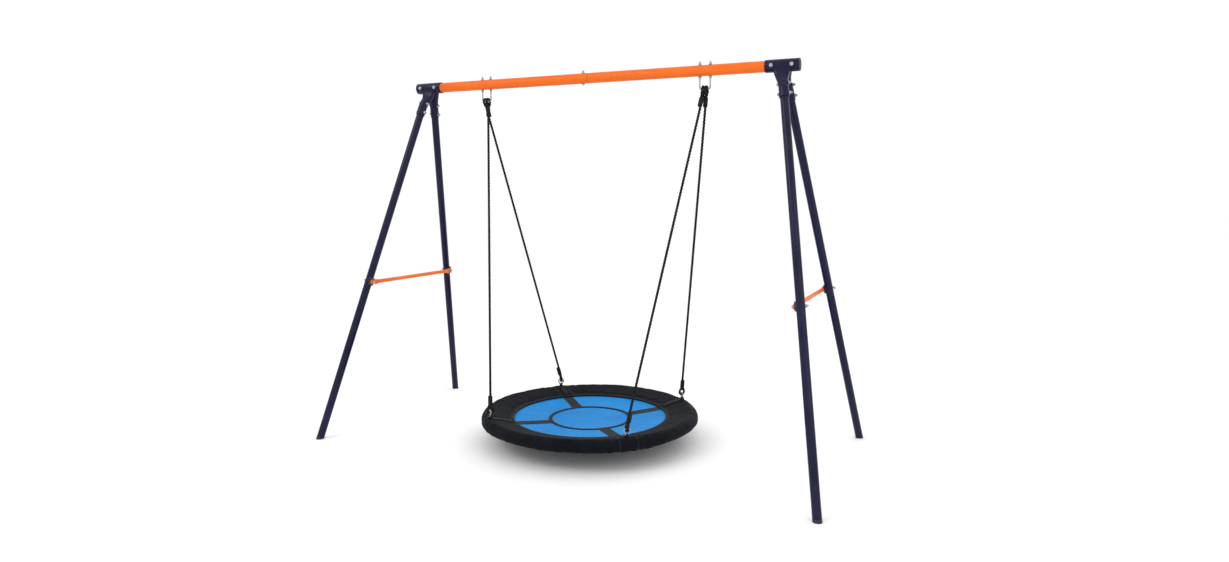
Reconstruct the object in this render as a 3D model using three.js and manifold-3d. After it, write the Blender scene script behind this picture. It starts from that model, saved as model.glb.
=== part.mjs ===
// Saucer nest swing on a steel A-frame stand.
// Millimetres, +Z up, +X along the beam, origin on the ground under the middle of the beam.

import * as THREE from 'three';
import { mergeVertices } from 'three/addons/utils/BufferGeometryUtils.js';
import Module from 'manifold-3d';

const wasm = await Module();
wasm.setup();

// ---------------------------------------------------------------- driving dimensions

// Fit between pieces
const touchGap = 0.3;
const slideGap = 0.5;
const holeClearance = 0.7;

// Stand
const beamAxisHeight = 1800;
const beamDiameter = 50;
const beamWall = 2;
const beamOverhang = 72;
const bracketSpacing = 1890;
const footSpacingLength = 2500;
const footSpacingWidth = 1160;
const legAxisOffset = 18;
const legDiameter = 38;
const legWall = 1.5;
const legSeamDistance = 1112;
const spigotLength = 80;
const swageLength = 6;

// Beam joint
const beamSpigotLength = 90;
const beamJointBoltSetback = 32;

// T connectors
const connectorPlate = 3;
const connectorHeadLength = 152;
const connectorMidGap = 1;
const neckTop = 22;
const neckBottom = 74;
const neckTopWidth = 80;
const neckDepth = 34;
const socketBottom = 154;
const headBoltSpacing = 90;
const bossSize = 24;
const bossThickness = 2;
const socketBoltDistances = [88, 136];

// Braces
const braceDistance = 1072;
const braceDiameter = 20;
const braceFlatThickness = 5;
const braceFlatWidth = 27;
const braceFlatLength = 34;
const braceTaperLength = 30;
const saddleThickness = 4;
const saddleWidth = 28;
const saddleHeight = 40;

// Foot caps
const footPlugLength = 30;
const footCapFloor = 2.5;

// Fasteners
const boltDiameter = 8;
const hexAcrossFlats = 13;
const hexHeadHeight = 5.3;
const hexNutHeight = 6.5;
const threadEnd = 5;
const washerDiameter = 17;
const washerThickness = 1.6;

// Hangers
const hangerSpacing = 1180;
const hangerLegSpacing = 50;
const hangerDrop = 58;
const hangerCornerRadius = 9;

// Ropes
const ropeDiameter = 13;
const topEyeDiameter = 34;
const lowerEyeDiameter = 25;
const eyePitch = 15;

// Seat
const seatDiameter = 1100;
const seatHeight = 122;
const padDiameter = 66;
const steelRingDiameter = 28;
const coverInnerRadius = 385;
const coverFlapThickness = 7;
const matThickness = 3;
const matDish = 16;
const matTuck = 60;
const webbingThickness = 2;
const centreRingDiameter = 404;
const centreRingWidth = 16;
const strapWidth = 54;
const attachAngle = 45;

// Webbing loops and steel rings
const loopWidth = 12;
const loopThickness = 2.2;
const loopSlack = 1;
const loopPinch = 4.2;
const pearRingWire = 6;
const pearRingWidth = 31;
const pearRingHeight = 29;
const pearRingLift = 56;

// Roundness of the meshes
const tubeSides = 16;
const boreSides = 16;
const boltSides = 6;
const holeSides = 8;
const washerSides = 8;
const ropeSides = 8;
const loopSides = 12;
const eyeSides = 6;
const seatSides = 40;

// ---------------------------------------------------------------- derived values

const beamRadius = beamDiameter / 2;
const legRadius = legDiameter / 2;
const shellRadius = beamRadius + touchGap + connectorPlate;
const socketRadius = legRadius + touchGap + connectorPlate;
const boltHoleRadius = boltDiameter / 2 + holeClearance;
const ropeRadius = ropeDiameter / 2;
const wireRadius = boltDiameter / 2;
const hangerWireHeight = beamAxisHeight - beamRadius - hangerDrop;
const padRadius = padDiameter / 2;
const steelRingRadius = seatDiameter / 2 - padRadius;
const braceOffset = legRadius + touchGap + saddleThickness + touchGap + braceFlatThickness / 2;

// ---------------------------------------------------------------- materials

const finish = (color, roughness, metalness) =>
  new THREE.MeshStandardMaterial({ color, roughness, metalness });
const navyPaint = finish(0x23233f, 0.3, 0.25);
const orangePaint = finish(0xf07030, 0.38, 0.1);
const zincSteel = finish(0xc9ccd2, 0.3, 0.9);
const blackPlastic = finish(0x1a1a1c, 0.5, 0);
const blackRope = finish(0x151517, 0.85, 0);
const blackFabric = finish(0x222225, 0.9, 0);
const blackWebbing = finish(0x19191b, 0.8, 0);
const blueMesh = finish(0x1a8ad6, 0.7, 0);

// ---------------------------------------------------------------- solids

// A closed solid from a three.js geometry: shared corners are merged and flat slivers dropped.
function solid(geometry) {
  const bare = geometry.clone();
  bare.deleteAttribute('normal');
  bare.deleteAttribute('uv');
  const merged = mergeVertices(bare, 1e-4);
  const corners = merged.index.array;
  const kept = [];
  for (let i = 0; i < corners.length; i += 3) {
    const [a, b, c] = [corners[i], corners[i + 1], corners[i + 2]];
    if (a !== b && b !== c && c !== a) {
      kept.push(a, b, c);
    }
  }
  return new wasm.Manifold(new wasm.Mesh({
    numProp: 3,
    vertProperties: Float32Array.from(merged.attributes.position.array),
    triVerts: Uint32Array.from(kept),
  }));
}

function geometryOf(body) {
  const data = body.getMesh();
  const geometry = new THREE.BufferGeometry();
  geometry.setAttribute('position', new THREE.BufferAttribute(Float32Array.from(data.vertProperties), 3));
  geometry.setIndex(new THREE.BufferAttribute(Uint32Array.from(data.triVerts), 1));
  geometry.computeVertexNormals();
  return geometry;
}

const join = (first, ...rest) => rest.reduce((sum, next) => sum.add(next), first);
const cut = (first, ...rest) => rest.reduce((sum, next) => sum.subtract(next), first);

function piece(name, body, material) {
  const geometry = body.isBufferGeometry ? body : geometryOf(body);
  const mesh = new THREE.Mesh(geometry, material);
  mesh.name = name;
  return mesh;
}

const vec = (x, y, z) => new THREE.Vector3(x, y, z);

// The radius that keeps a many-sided hole clear of a round bar.
const boreRadius = (radius, sides) => radius / Math.cos(Math.PI / sides);

// A round bar from one point to another.
function rodGeometry(radius, from, to, sides) {
  const along = new THREE.Vector3().subVectors(to, from);
  const geometry = new THREE.CylinderGeometry(radius, radius, along.length(), sides);
  const turn = new THREE.Quaternion().setFromUnitVectors(vec(0, 1, 0), along.clone().normalize());
  geometry.applyQuaternion(turn);
  const middle = new THREE.Vector3().addVectors(from, to).multiplyScalar(0.5);
  geometry.translate(middle.x, middle.y, middle.z);
  return geometry;
}

const rod = (radius, from, to, sides = tubeSides) => solid(rodGeometry(radius, from, to, sides));

function block(size, centre, matrix = new THREE.Matrix4()) {
  const geometry = new THREE.BoxGeometry(size.x, size.y, size.z);
  geometry.translate(centre.x, centre.y, centre.z);
  geometry.applyMatrix4(matrix);
  return solid(geometry);
}

// A solid turned around Z from [radius, height] pairs, closed back on the first pair.
function turned(profile, sides) {
  const points = [...profile, profile[0]].map(([r, z]) => new THREE.Vector2(r, z));
  const geometry = new THREE.LatheGeometry(points, sides);
  geometry.rotateX(Math.PI / 2);
  return solid(geometry);
}

// A hexagon bolt along +X. The head bears at headFace and the nut at nutFace, each on a washer.
function hexBolt(headFace, nutFace) {
  const hexRadius = hexAcrossFlats / Math.sqrt(3);
  const headStart = headFace - washerThickness - hexHeadHeight;
  const nutEnd = nutFace + washerThickness + hexNutHeight;
  return join(
    rod(boltDiameter / 2, vec(headStart + 1, 0, 0), vec(nutEnd + threadEnd, 0, 0), boltSides),
    rod(hexRadius, vec(headStart, 0, 0), vec(headFace - washerThickness / 2, 0, 0), 6),
    rod(washerDiameter / 2, vec(headFace - washerThickness, 0, 0), vec(headFace, 0, 0), washerSides),
    rod(washerDiameter / 2, vec(nutFace, 0, 0), vec(nutFace + washerThickness, 0, 0), washerSides),
    rod(hexRadius, vec(nutFace + washerThickness / 2, 0, 0), vec(nutEnd, 0, 0), 6),
  );
}

const boltHole = (from, to) => rod(boreRadius(boltHoleRadius, holeSides), from, to, holeSides);

// ---------------------------------------------------------------- frames of reference

// Legs lean outwards along the beam and away from it.
// A leg's own frame has its origin beside the beam's axis, -Z down the leg and X level with the beam.
function legFrame(end, side) {
  const top = vec(0, side * legAxisOffset, 0);
  const foot = vec(
    end * (footSpacingLength - bracketSpacing) / 2,
    side * footSpacingWidth / 2,
    -beamAxisHeight,
  );
  const up = new THREE.Vector3().subVectors(top, foot).normalize();
  const across = vec(1, 0, 0).addScaledVector(up, -up.x).normalize();
  const forward = new THREE.Vector3().crossVectors(up, across);
  const matrix = new THREE.Matrix4().makeBasis(across, forward, up).setPosition(top);
  return { matrix, inverse: matrix.clone().invert(), length: top.distanceTo(foot), up, foot };
}

const endNames = { '-1': 'left', 1: 'right' };
const sideNames = { '-1': 'front', 1: 'rear' };

// A brace's own frame: Y from the front leg to the rear one, X square to its flattened ends.
function braceFrame(end) {
  const [front, rear] = [-1, 1].map((side) => {
    const { matrix } = legFrame(end, side);
    return vec(-end * braceOffset, 0, -braceDistance).applyMatrix4(matrix);
  });
  const { matrix } = legFrame(end, 1);
  const across = new THREE.Vector3().setFromMatrixColumn(matrix, 0).setY(0).normalize();
  const up = new THREE.Vector3().crossVectors(across, vec(0, 1, 0));
  const middle = new THREE.Vector3().addVectors(front, rear).multiplyScalar(0.5);
  const frame = new THREE.Matrix4().makeBasis(across, vec(0, 1, 0), up).setPosition(middle);
  return { matrix: frame, span: front.distanceTo(rear) };
}

function place(object, matrix) {
  matrix.decompose(object.position, object.quaternion, object.scale);
  return object;
}

// ---------------------------------------------------------------- beam

const hangerHoleOffsets = [-hangerLegSpacing / 2, hangerLegSpacing / 2];
const headBoltOffsets = [-headBoltSpacing / 2, headBoltSpacing / 2];

function beamHalf(end) {
  const tip = end * (bracketSpacing / 2 + beamOverhang);
  const inner = beamRadius - beamWall;
  const spigotRadius = inner - slideGap;
  const spigotBore = spigotRadius - beamWall;
  const seam = end * touchGap / 2;
  let body = rod(beamRadius, vec(seam, 0, 0), vec(tip, 0, 0));
  if (end > 0) {
    body = join(body, rod(spigotRadius, vec(-beamSpigotLength, 0, 0), vec(swageLength, 0, 0)));
    body = cut(
      body,
      rod(spigotBore, vec(-beamSpigotLength - 1, 0, 0), vec(swageLength * 2, 0, 0)),
      rod(inner, vec(swageLength * 2, 0, 0), vec(tip + 1, 0, 0)),
    );
  } else {
    body = cut(body, rod(inner, vec(1, 0, 0), vec(tip - 1, 0, 0)));
  }
  const holes = [];
  const reach = beamRadius + 5;
  holes.push(boltHole(vec(-beamJointBoltSetback, 0, -reach), vec(-beamJointBoltSetback, 0, reach)));
  for (const offset of hangerHoleOffsets) {
    const x = end * hangerSpacing / 2 + offset;
    holes.push(boltHole(vec(x, 0, -reach), vec(x, 0, reach)));
  }
  for (const offset of headBoltOffsets) {
    const x = end * bracketSpacing / 2 + offset;
    holes.push(boltHole(vec(x, -reach, 0), vec(x, reach, 0)));
  }
  return cut(body, ...holes);
}

const beam = new THREE.Group();
beam.position.z = beamAxisHeight;
beam.add(piece('beam_left', beamHalf(-1), orangePaint));
beam.add(piece('beam_right', beamHalf(1), orangePaint));

const jointBolt = piece('beam_joint_bolt', hexBolt(-beamRadius - touchGap, beamRadius + touchGap), zincSteel);
jointBolt.rotation.y = -Math.PI / 2;
jointBolt.position.x = -beamJointBoltSetback;
beam.add(jointBolt);

// ---------------------------------------------------------------- T connectors

// A pressed half shell round the beam, necked down to the socket that takes the leg.
function connector(end, side) {
  const { inverse } = legFrame(end, side);
  const inLeg = (body) => body.applyMatrix4(inverse);
  const half = connectorHeadLength / 2;
  const headFrom = vec(-half, 0, 0);
  const headTo = vec(half, 0, 0);
  const head = solid(inLeg(rodGeometry(shellRadius, headFrom, headTo, tubeSides)));
  const bosses = headBoltOffsets.map((x) => {
    const depth = shellRadius + bossThickness;
    const geometry = new THREE.BoxGeometry(bossSize, depth, bossSize);
    geometry.translate(x, side * depth / 2, 0);
    return solid(inLeg(geometry));
  });
  const outline = new THREE.Shape();
  outline.moveTo(-neckTopWidth / 2, -neckTop);
  outline.lineTo(-neckTopWidth / 2 + 4, -neckTop - 10);
  outline.lineTo(-socketRadius + 1, -neckBottom);
  outline.lineTo(socketRadius - 1, -neckBottom);
  outline.lineTo(neckTopWidth / 2 - 4, -neckTop - 10);
  outline.lineTo(neckTopWidth / 2, -neckTop);
  const plate = new THREE.ExtrudeGeometry(outline, { depth: neckDepth, bevelEnabled: false });
  plate.translate(0, 0, -neckDepth / 2);
  plate.rotateX(Math.PI / 2);
  const socket = rod(socketRadius, vec(0, 0, -neckBottom + 12), vec(0, 0, -socketBottom));
  const bore = rod(
    boreRadius(legRadius + touchGap, boreSides),
    vec(0, 0, -neckBottom),
    vec(0, 0, -socketBottom - 1),
    boreSides,
  );
  const beamBore = solid(inLeg(rodGeometry(
    boreRadius(beamRadius + touchGap, boreSides),
    vec(-half - 1, 0, 0),
    vec(half + 1, 0, 0),
    boreSides,
  )));
  const farSide = block(
    vec(400, 400, 600),
    vec(0, -side * (200 - connectorMidGap), 0),
    inverse,
  );
  const headHoles = headBoltOffsets.map((x) => {
    const from = vec(x, -60, 0).applyMatrix4(inverse);
    const to = vec(x, 60, 0).applyMatrix4(inverse);
    return boltHole(from, to);
  });
  const spotFaces = headBoltOffsets.map((x) => {
    const from = vec(x, side * (shellRadius + bossThickness), 0).applyMatrix4(inverse);
    const to = vec(x, side * 120, 0).applyMatrix4(inverse);
    return rod(boreRadius(washerDiameter / 2 + slideGap, boreSides), from, to, boreSides);
  });
  const socketHoles = socketBoltDistances.map((z) => boltHole(vec(-40, 0, -z), vec(40, 0, -z)));
  const body = join(head, ...bosses, solid(plate), socket);
  return cut(body, bore, beamBore, farSide, ...headHoles, ...spotFaces, ...socketHoles);
}

// ---------------------------------------------------------------- legs

const legHoles = (distances) => distances.map((z) => boltHole(vec(-30, 0, -z), vec(30, 0, -z)));

function upperLeg() {
  const inner = legRadius - legWall;
  const top = -neckBottom - touchGap;
  const bottom = -legSeamDistance;
  const tube = turned([[inner, bottom], [legRadius, bottom], [legRadius, top], [inner, top]], tubeSides);
  return cut(tube, ...legHoles([...socketBoltDistances, braceDistance]));
}

// The lower tube is swaged down to slide inside the upper one.
function lowerLeg(frame) {
  const spigotRadius = legRadius - legWall - slideGap;
  const shoulder = -legSeamDistance - touchGap;
  const bottom = legTubeEnd(frame);
  const profile = [
    [legRadius - legWall, bottom],
    [legRadius, bottom],
    [legRadius, shoulder - 1.5],
    [spigotRadius, shoulder],
    [spigotRadius, shoulder + spigotLength],
    [spigotRadius - legWall, shoulder + spigotLength],
    [spigotRadius - legWall, shoulder - swageLength],
    [legRadius - legWall, shoulder - swageLength * 2],
  ];
  return cut(turned(profile, tubeSides), ...legHoles([braceDistance]));
}

// The tube stops where its lowest edge still clears the cap's floor.
function legTubeEnd(frame) {
  const lean = Math.sqrt(1 - frame.up.z ** 2);
  return -(frame.length - (footCapFloor + legRadius * lean) / frame.up.z);
}

// A plug in the tube's end with a flange cut level with the ground.
function footCap(frame) {
  const end = legTubeEnd(frame);
  const plugRadius = legRadius - legWall - slideGap;
  const flange = rod(legRadius, vec(0, 0, end - touchGap), vec(0, 0, -frame.length - legRadius));
  const plug = rod(plugRadius, vec(0, 0, end + footPlugLength), vec(0, 0, end - 2));
  const groundDepth = legDiameter * 3;
  const groundCentre = frame.foot.clone().add(vec(0, 0, -groundDepth / 2));
  const ground = block(vec(groundDepth, groundDepth, groundDepth), groundCentre, frame.inverse);
  return cut(join(flange, plug), ground);
}

// A curved spacer between the leg's round side and the brace's flat end.
function saddle(end, frame, brace) {
  const inward = -end;
  const depth = saddleThickness + 8;
  const face = legRadius + touchGap + saddleThickness;
  const body = block(vec(depth, saddleWidth, saddleHeight), vec(inward * (face - depth / 2), 0, -braceDistance));
  const tube = rod(
    boreRadius(legRadius + touchGap, boreSides),
    vec(0, 0, -braceDistance - 100),
    vec(0, 0, -braceDistance + 100),
    boreSides,
  );
  const toLeg = frame.inverse.clone().multiply(brace.matrix);
  const slab = block(
    vec(100, brace.span + 200, 200),
    vec(inward * (50 - braceFlatThickness / 2 - touchGap), 0, 0),
    toLeg,
  );
  return cut(body, tube, slab, ...legHoles([braceDistance]));
}

// A round tube flattened at both ends, with rounded tips.
function braceBody(brace, end) {
  const tipReach = braceFlatWidth / 2;
  const half = brace.span / 2 + tipReach;
  const round = braceDiameter / 2;
  const stations = [0, 1.5, 5, tipReach, braceFlatLength, braceFlatLength + braceTaperLength];
  const along = [...stations.map((s) => s - half), ...stations.map((s) => half - s).reverse()];
  const geometry = new THREE.CylinderGeometry(1, 1, 1, 16, along.length - 1);
  const place = geometry.attributes.position;
  for (let i = 0; i < place.count; i += 1) {
    const station = Math.round((place.getY(i) + 0.5) * (along.length - 1));
    const y = along[station];
    const fromTip = half - Math.abs(y);
    const flatness = THREE.MathUtils.clamp((fromTip - braceFlatLength) / braceTaperLength, 0, 1);
    const thickness = THREE.MathUtils.lerp(braceFlatThickness / 2, round, flatness);
    const fullWidth = THREE.MathUtils.lerp(braceFlatWidth / 2, round, flatness);
    const fromCentre = Math.max(0, tipReach - fromTip);
    const width = Math.min(fullWidth, Math.sqrt(Math.max(9, tipReach ** 2 - fromCentre ** 2)));
    const x = THREE.MathUtils.clamp(place.getX(i) * round, -thickness, thickness);
    place.setXYZ(i, x, y, place.getZ(i) * width);
  }
  const holes = [-1, 1].map((side) => {
    const y = side * brace.span / 2;
    return rod(boreRadius(boltHoleRadius + slideGap, holeSides), vec(-20, y, 0), vec(20, y, 0), holeSides);
  });
  return cut(solid(geometry), ...holes);
}

const stand = new THREE.Group();
stand.add(beam);

for (const end of [-1, 1]) {
  const endName = endNames[end];
  const corner = new THREE.Group();
  corner.position.set(end * bracketSpacing / 2, 0, beamAxisHeight);
  stand.add(corner);

  const brace = braceFrame(end);
  for (const side of [-1, 1]) {
    const label = `${endName}_${sideNames[side]}`;
    const frame = legFrame(end, side);
    const leg = place(new THREE.Group(), frame.matrix);
    corner.add(leg);
    leg.add(piece(`connector_${label}`, connector(end, side), navyPaint));
    leg.add(piece(`upper_leg_${label}`, upperLeg(), navyPaint));
    leg.add(piece(`lower_leg_${label}`, lowerLeg(frame), navyPaint));
    leg.add(piece(`foot_cap_${label}`, footCap(frame), blackPlastic));
    leg.add(piece(`brace_saddle_${label}`, saddle(end, frame, brace), blackPlastic));

    socketBoltDistances.forEach((distance, index) => {
      const bearing = socketRadius + touchGap;
      const name = `socket_bolt_${label}_${index === 0 ? 'upper' : 'lower'}`;
      const bolt = piece(name, hexBolt(-bearing, bearing), zincSteel);
      bolt.position.z = -distance;
      leg.add(bolt);
    });

    const headFace = braceOffset + braceFlatThickness / 2 + touchGap + slideGap;
    const nutFace = legRadius + touchGap;
    const braceBolt = piece(`brace_bolt_${label}`, hexBolt(-headFace, nutFace), zincSteel);
    braceBolt.position.z = -braceDistance;
    braceBolt.rotation.z = end > 0 ? 0 : Math.PI;
    leg.add(braceBolt);
  }

  corner.add(place(piece(`brace_${endName}`, braceBody(brace, end), orangePaint), brace.matrix));

  headBoltOffsets.forEach((offset, index) => {
    const bearing = shellRadius + bossThickness + touchGap;
    const name = `head_bolt_${endName}_${index === 0 ? 'minus_x' : 'plus_x'}`;
    const bolt = piece(name, hexBolt(-bearing, bearing), zincSteel);
    bolt.rotation.z = Math.PI / 2;
    bolt.position.x = offset;
    corner.add(bolt);
  });
}

// ---------------------------------------------------------------- hangers

// A square-bottomed U bolt down through the beam, held by a nut above and below on each leg.
function hangerBolt() {
  const half = hangerLegSpacing / 2;
  const top = beamRadius + washerThickness + hexNutHeight + threadEnd + 4;
  const bottom = -beamRadius - hangerDrop;
  const r = hangerCornerRadius;
  const route = new THREE.CurvePath();
  route.add(new THREE.LineCurve3(vec(-half, 0, bottom + r + 4), vec(-half, 0, bottom + r)));
  route.add(new THREE.QuadraticBezierCurve3(
    vec(-half, 0, bottom + r), vec(-half, 0, bottom), vec(-half + r, 0, bottom),
  ));
  route.add(new THREE.LineCurve3(vec(-half + r, 0, bottom), vec(half - r, 0, bottom)));
  route.add(new THREE.QuadraticBezierCurve3(
    vec(half - r, 0, bottom), vec(half, 0, bottom), vec(half, 0, bottom + r),
  ));
  route.add(new THREE.LineCurve3(vec(half, 0, bottom + r), vec(half, 0, bottom + r + 4)));
  const section = new THREE.Shape();
  section.absarc(0, 0, wireRadius, 0, Math.PI * 2);
  const bend = new THREE.ExtrudeGeometry(section, { steps: 14, curveSegments: 2, extrudePath: route });
  const parts = [solid(bend)];
  const hexRadius = hexAcrossFlats / Math.sqrt(3);
  const seat = beamRadius + touchGap;
  const nutTop = seat + washerThickness + hexNutHeight;
  for (const x of [-half, half]) {
    parts.push(rod(wireRadius, vec(x, 0, bottom + r + 2), vec(x, 0, top), boltSides));
    for (const face of [1, -1]) {
      const washerFrom = vec(x, 0, face * seat);
      const washerTo = vec(x, 0, face * (seat + washerThickness));
      parts.push(rod(washerDiameter / 2, washerFrom, washerTo, washerSides));
      parts.push(rod(hexRadius, vec(x, 0, face * (seat + washerThickness / 2)), vec(x, 0, face * nutTop), 6));
    }
  }
  return join(...parts);
}

for (const end of [-1, 1]) {
  const bolt = piece(`hanger_bolt_${endNames[end]}`, hangerBolt(), zincSteel);
  bolt.position.x = end * hangerSpacing / 2;
  beam.add(bolt);
}

// ---------------------------------------------------------------- seat

const seat = new THREE.Group();
seat.position.z = seatHeight;

// The height of the mat's upper face at a radius: a shallow dish, flat under the cover's flap.
function matHeight(radius) {
  const share = THREE.MathUtils.clamp(radius / coverInnerRadius, 0, 1);
  return -coverFlapThickness / 2 - touchGap - matDish * (1 - share * share);
}

const matEdge = Math.min(coverInnerRadius + matTuck, steelRingRadius - padRadius - 6);
const matRadii = [coverInnerRadius * 0.5, coverInnerRadius, matEdge];

function matBody() {
  const upper = matRadii.map((r) => [r, matHeight(r)]);
  const lower = matRadii.map((r) => [r, matHeight(r) - matThickness]).reverse();
  return turned([[0, matHeight(0)], ...upper, ...lower, [0, matHeight(0) - matThickness]].reverse(), seatSides);
}

// Webbing sewn on the mat: a ring round its centre and four straps out to the cover.
function matWebbing() {
  const edge = coverInnerRadius - slideGap;
  const radii = [coverInnerRadius * 0.5, edge];
  const rise = touchGap + webbingThickness;
  const lower = radii.map((r) => [r, matHeight(r) + touchGap]);
  const upper = radii.map((r) => [r, matHeight(r) + rise]).reverse();
  const sheet = turned(
    [[0, matHeight(0) + touchGap], ...lower, ...upper, [0, matHeight(0) + rise]],
    seatSides,
  );
  const outer = centreRingDiameter / 2 + centreRingWidth / 2;
  const inner = centreRingDiameter / 2 - centreRingWidth / 2;
  const ring = cut(
    rod(outer, vec(0, 0, -60), vec(0, 0, 60), seatSides),
    rod(inner, vec(0, 0, -61), vec(0, 0, 61), seatSides),
  );
  const straps = attachAngles.map((angle) => {
    const geometry = new THREE.BoxGeometry(edge, strapWidth, 120);
    geometry.translate((inner + 4) + edge / 2, 0, 0);
    geometry.rotateZ(angle);
    return solid(geometry);
  });
  return sheet.intersect(join(ring, ...straps));
}

const attachAngles = [-attachAngle, attachAngle, 180 - attachAngle, 180 + attachAngle]
  .map((degrees) => THREE.MathUtils.degToRad(degrees));

// The padded cover's section: a round pad on the steel ring. Above, it runs straight down from the
// pad's crown to a flap over the mat. Below, it meets the flat underside of that flap.
function coverBody() {
  const half = coverFlapThickness / 2;
  const undersideEdge = matEdge + 4;
  const first = -Math.PI + Math.asin(0.55);
  const last = Math.PI - Math.acos(padRadius / (steelRingRadius - coverInnerRadius));
  const bulge = [];
  const count = 9;
  for (let i = 0; i <= count; i += 1) {
    const angle = first + ((last - first) * i) / count;
    bulge.push([steelRingRadius + padRadius * Math.cos(angle), padRadius * Math.sin(angle)]);
  }
  const profile = [
    [coverInnerRadius, half],
    [coverInnerRadius, -half],
    [undersideEdge, -half],
    ...bulge,
  ];
  const outer = turned(profile, seatSides);
  const hollow = solid(ringTorus(boreRadius(steelRingDiameter / 2 + slideGap, 6), 6));
  const pockets = attachAngles.map((angle) => {
    const { matrix, distance } = attachment(angle).loop;
    const geometry = beltGeometry(0, loopThickness + slideGap, distance, loopWidth + 2 * slideGap);
    return solid(geometry.applyMatrix4(matrix));
  });
  return cut(outer, hollow, ...pockets);
}

const ringTorus = (radius, sides) => new THREE.TorusGeometry(steelRingRadius, radius, sides, seatSides);

// ---------------------------------------------------------------- rings, loops and ropes

// Each rope runs from an eye on its hanger to an eye on the steel pear ring at the seat.
// The webbing loop and the pear ring stand in line with the rope's pull, square to the steel ring.
function attachment(angle) {
  const end = Math.cos(angle) > 0 ? 1 : -1;
  const side = Math.sin(angle) > 0 ? 1 : -1;
  const tangent = vec(-Math.sin(angle), Math.cos(angle), 0);
  const anchor = vec(Math.cos(angle), Math.sin(angle), 0).multiplyScalar(steelRingRadius);
  const hangerPoint = vec(
    end * (hangerSpacing + side * eyePitch) / 2,
    0,
    hangerWireHeight - seatHeight,
  );
  const pull = new THREE.Vector3().subVectors(hangerPoint, anchor);
  const up = pull.clone().addScaledVector(tangent, -pull.dot(tangent)).normalize();
  const across = new THREE.Vector3().crossVectors(tangent, up);
  const distance = pearRingLift - pearRingHeight / 2;
  const ringCentre = anchor.clone().addScaledVector(up, pearRingLift);
  const loopBasis = new THREE.Matrix4().makeBasis(across.clone().negate(), up, tangent);
  const ringBasis = new THREE.Matrix4().makeBasis(tangent, up, across.clone());
  return {
    label: `${endNames[end]}_${sideNames[side]}`,
    tangent,
    up,
    hangerPoint,
    ringTop: ringCentre.clone().addScaledVector(up, pearRingHeight / 2),
    loop: { matrix: loopBasis.setPosition(anchor), distance },
    ring: { matrix: ringBasis.setPosition(ringCentre) },
  };
}

// The outline of a band wrapped round two bars, a thick one at the origin and a thin one along +Y.
function beltOutline(Kind, thick, thin, distance) {
  const lean = Math.asin((thick - thin) / distance);
  const outline = new Kind();
  outline.absarc(0, 0, thick, Math.PI - lean, 2 * Math.PI + lean, false);
  outline.absarc(0, distance, thin, lean, Math.PI - lean, false);
  outline.closePath();
  return outline;
}

// A band round the steel ring and the pear ring's straight bar, between two offsets from their surfaces.
function beltGeometry(inside, outside, distance, width) {
  const thick = boreRadius(steelRingDiameter / 2 + loopSlack, loopSides);
  const thin = pearRingWire / 2 + loopSlack + loopPinch;
  const band = beltOutline(THREE.Shape, thick + outside, thin + outside, distance);
  if (inside > 0) {
    band.holes.push(beltOutline(THREE.Path, thick + outside - inside, thin + outside - inside, distance));
  }
  const geometry = new THREE.ExtrudeGeometry(band, { depth: width, bevelEnabled: false, curveSegments: loopSides / 2 });
  return geometry.translate(0, 0, -width / 2);
}

// A steel pear ring in the XY plane, its narrow end at -Y.
function pearRingBody() {
  const w = pearRingWidth / 2;
  const h = pearRingHeight / 2;
  const half = [[0.36, -0.84], [0.66, -0.36], [0.92, 0.18], [0.96, 0.6], [0.7, 0.93], [0.3, 1]];
  const points = [
    [0, -h],
    ...half.map(([x, y]) => [x * w, y * h]),
    ...half.map(([x, y]) => [-x * w, y * h]).reverse(),
  ];
  const route = new THREE.CatmullRomCurve3(points.map(([x, y]) => vec(x, y, 0)), true, 'centripetal');
  return solid(new THREE.TubeGeometry(route, 20, pearRingWire / 2, 6, true));
}

// A rope with a spliced eye at each end. Both ends are given in the seat's frame.
function ropeBody(link) {
  const { ringTop, up: ringUp } = link;
  const topEye = new THREE.TorusGeometry(topEyeDiameter / 2, ropeRadius, eyeSides, 12);
  topEye.rotateY(Math.PI / 2);
  const eyeInner = topEyeDiameter / 2 - ropeRadius;
  const drop = eyeInner - wireRadius - slideGap;
  const top = link.hangerPoint.clone().add(vec(0, 0, -drop));
  topEye.translate(top.x, top.y, top.z);
  const start = top.clone().add(vec(0, 0, -topEyeDiameter / 2));
  const lowerEye = new THREE.TorusGeometry(lowerEyeDiameter / 2, ropeRadius, eyeSides, 10);
  const sideways = new THREE.Vector3().crossVectors(link.tangent, ringUp).normalize();
  const level = new THREE.Vector3().crossVectors(ringUp, sideways);
  const lift = lowerEyeDiameter / 2 - ropeRadius - pearRingWire / 2 - slideGap;
  const centre = ringTop.clone().addScaledVector(ringUp, lift);
  lowerEye.applyMatrix4(new THREE.Matrix4().makeBasis(sideways, ringUp, level.negate()).setPosition(centre));
  const finishPoint = centre.clone().addScaledVector(ringUp, lowerEyeDiameter / 2);
  return join(solid(topEye), rod(ropeRadius, start, finishPoint, ropeSides), solid(lowerEye));
}

for (const angle of attachAngles) {
  const link = attachment(angle);
  const band = beltGeometry(loopThickness, loopThickness, link.loop.distance, loopWidth);
  const loop = piece(`webbing_loop_${link.label}`, solid(band), blackWebbing);
  seat.add(place(loop, link.loop.matrix));
  const ring = piece(`pear_ring_${link.label}`, pearRingBody(), zincSteel);
  seat.add(place(ring, link.ring.matrix));
  seat.add(piece(`rope_${link.label}`, ropeBody(link), blackRope));
}

seat.add(piece('seat_ring', solid(ringTorus(steelRingDiameter / 2, 6)), zincSteel));
seat.add(piece('rim_cover', coverBody(), blackFabric));
seat.add(piece('mat', matBody(), blueMesh));
seat.add(piece('mat_webbing', matWebbing(), blackWebbing));

// ---------------------------------------------------------------- whole object

const group = new THREE.Group();
group.add(stand);
group.add(seat);

export default group;
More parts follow.
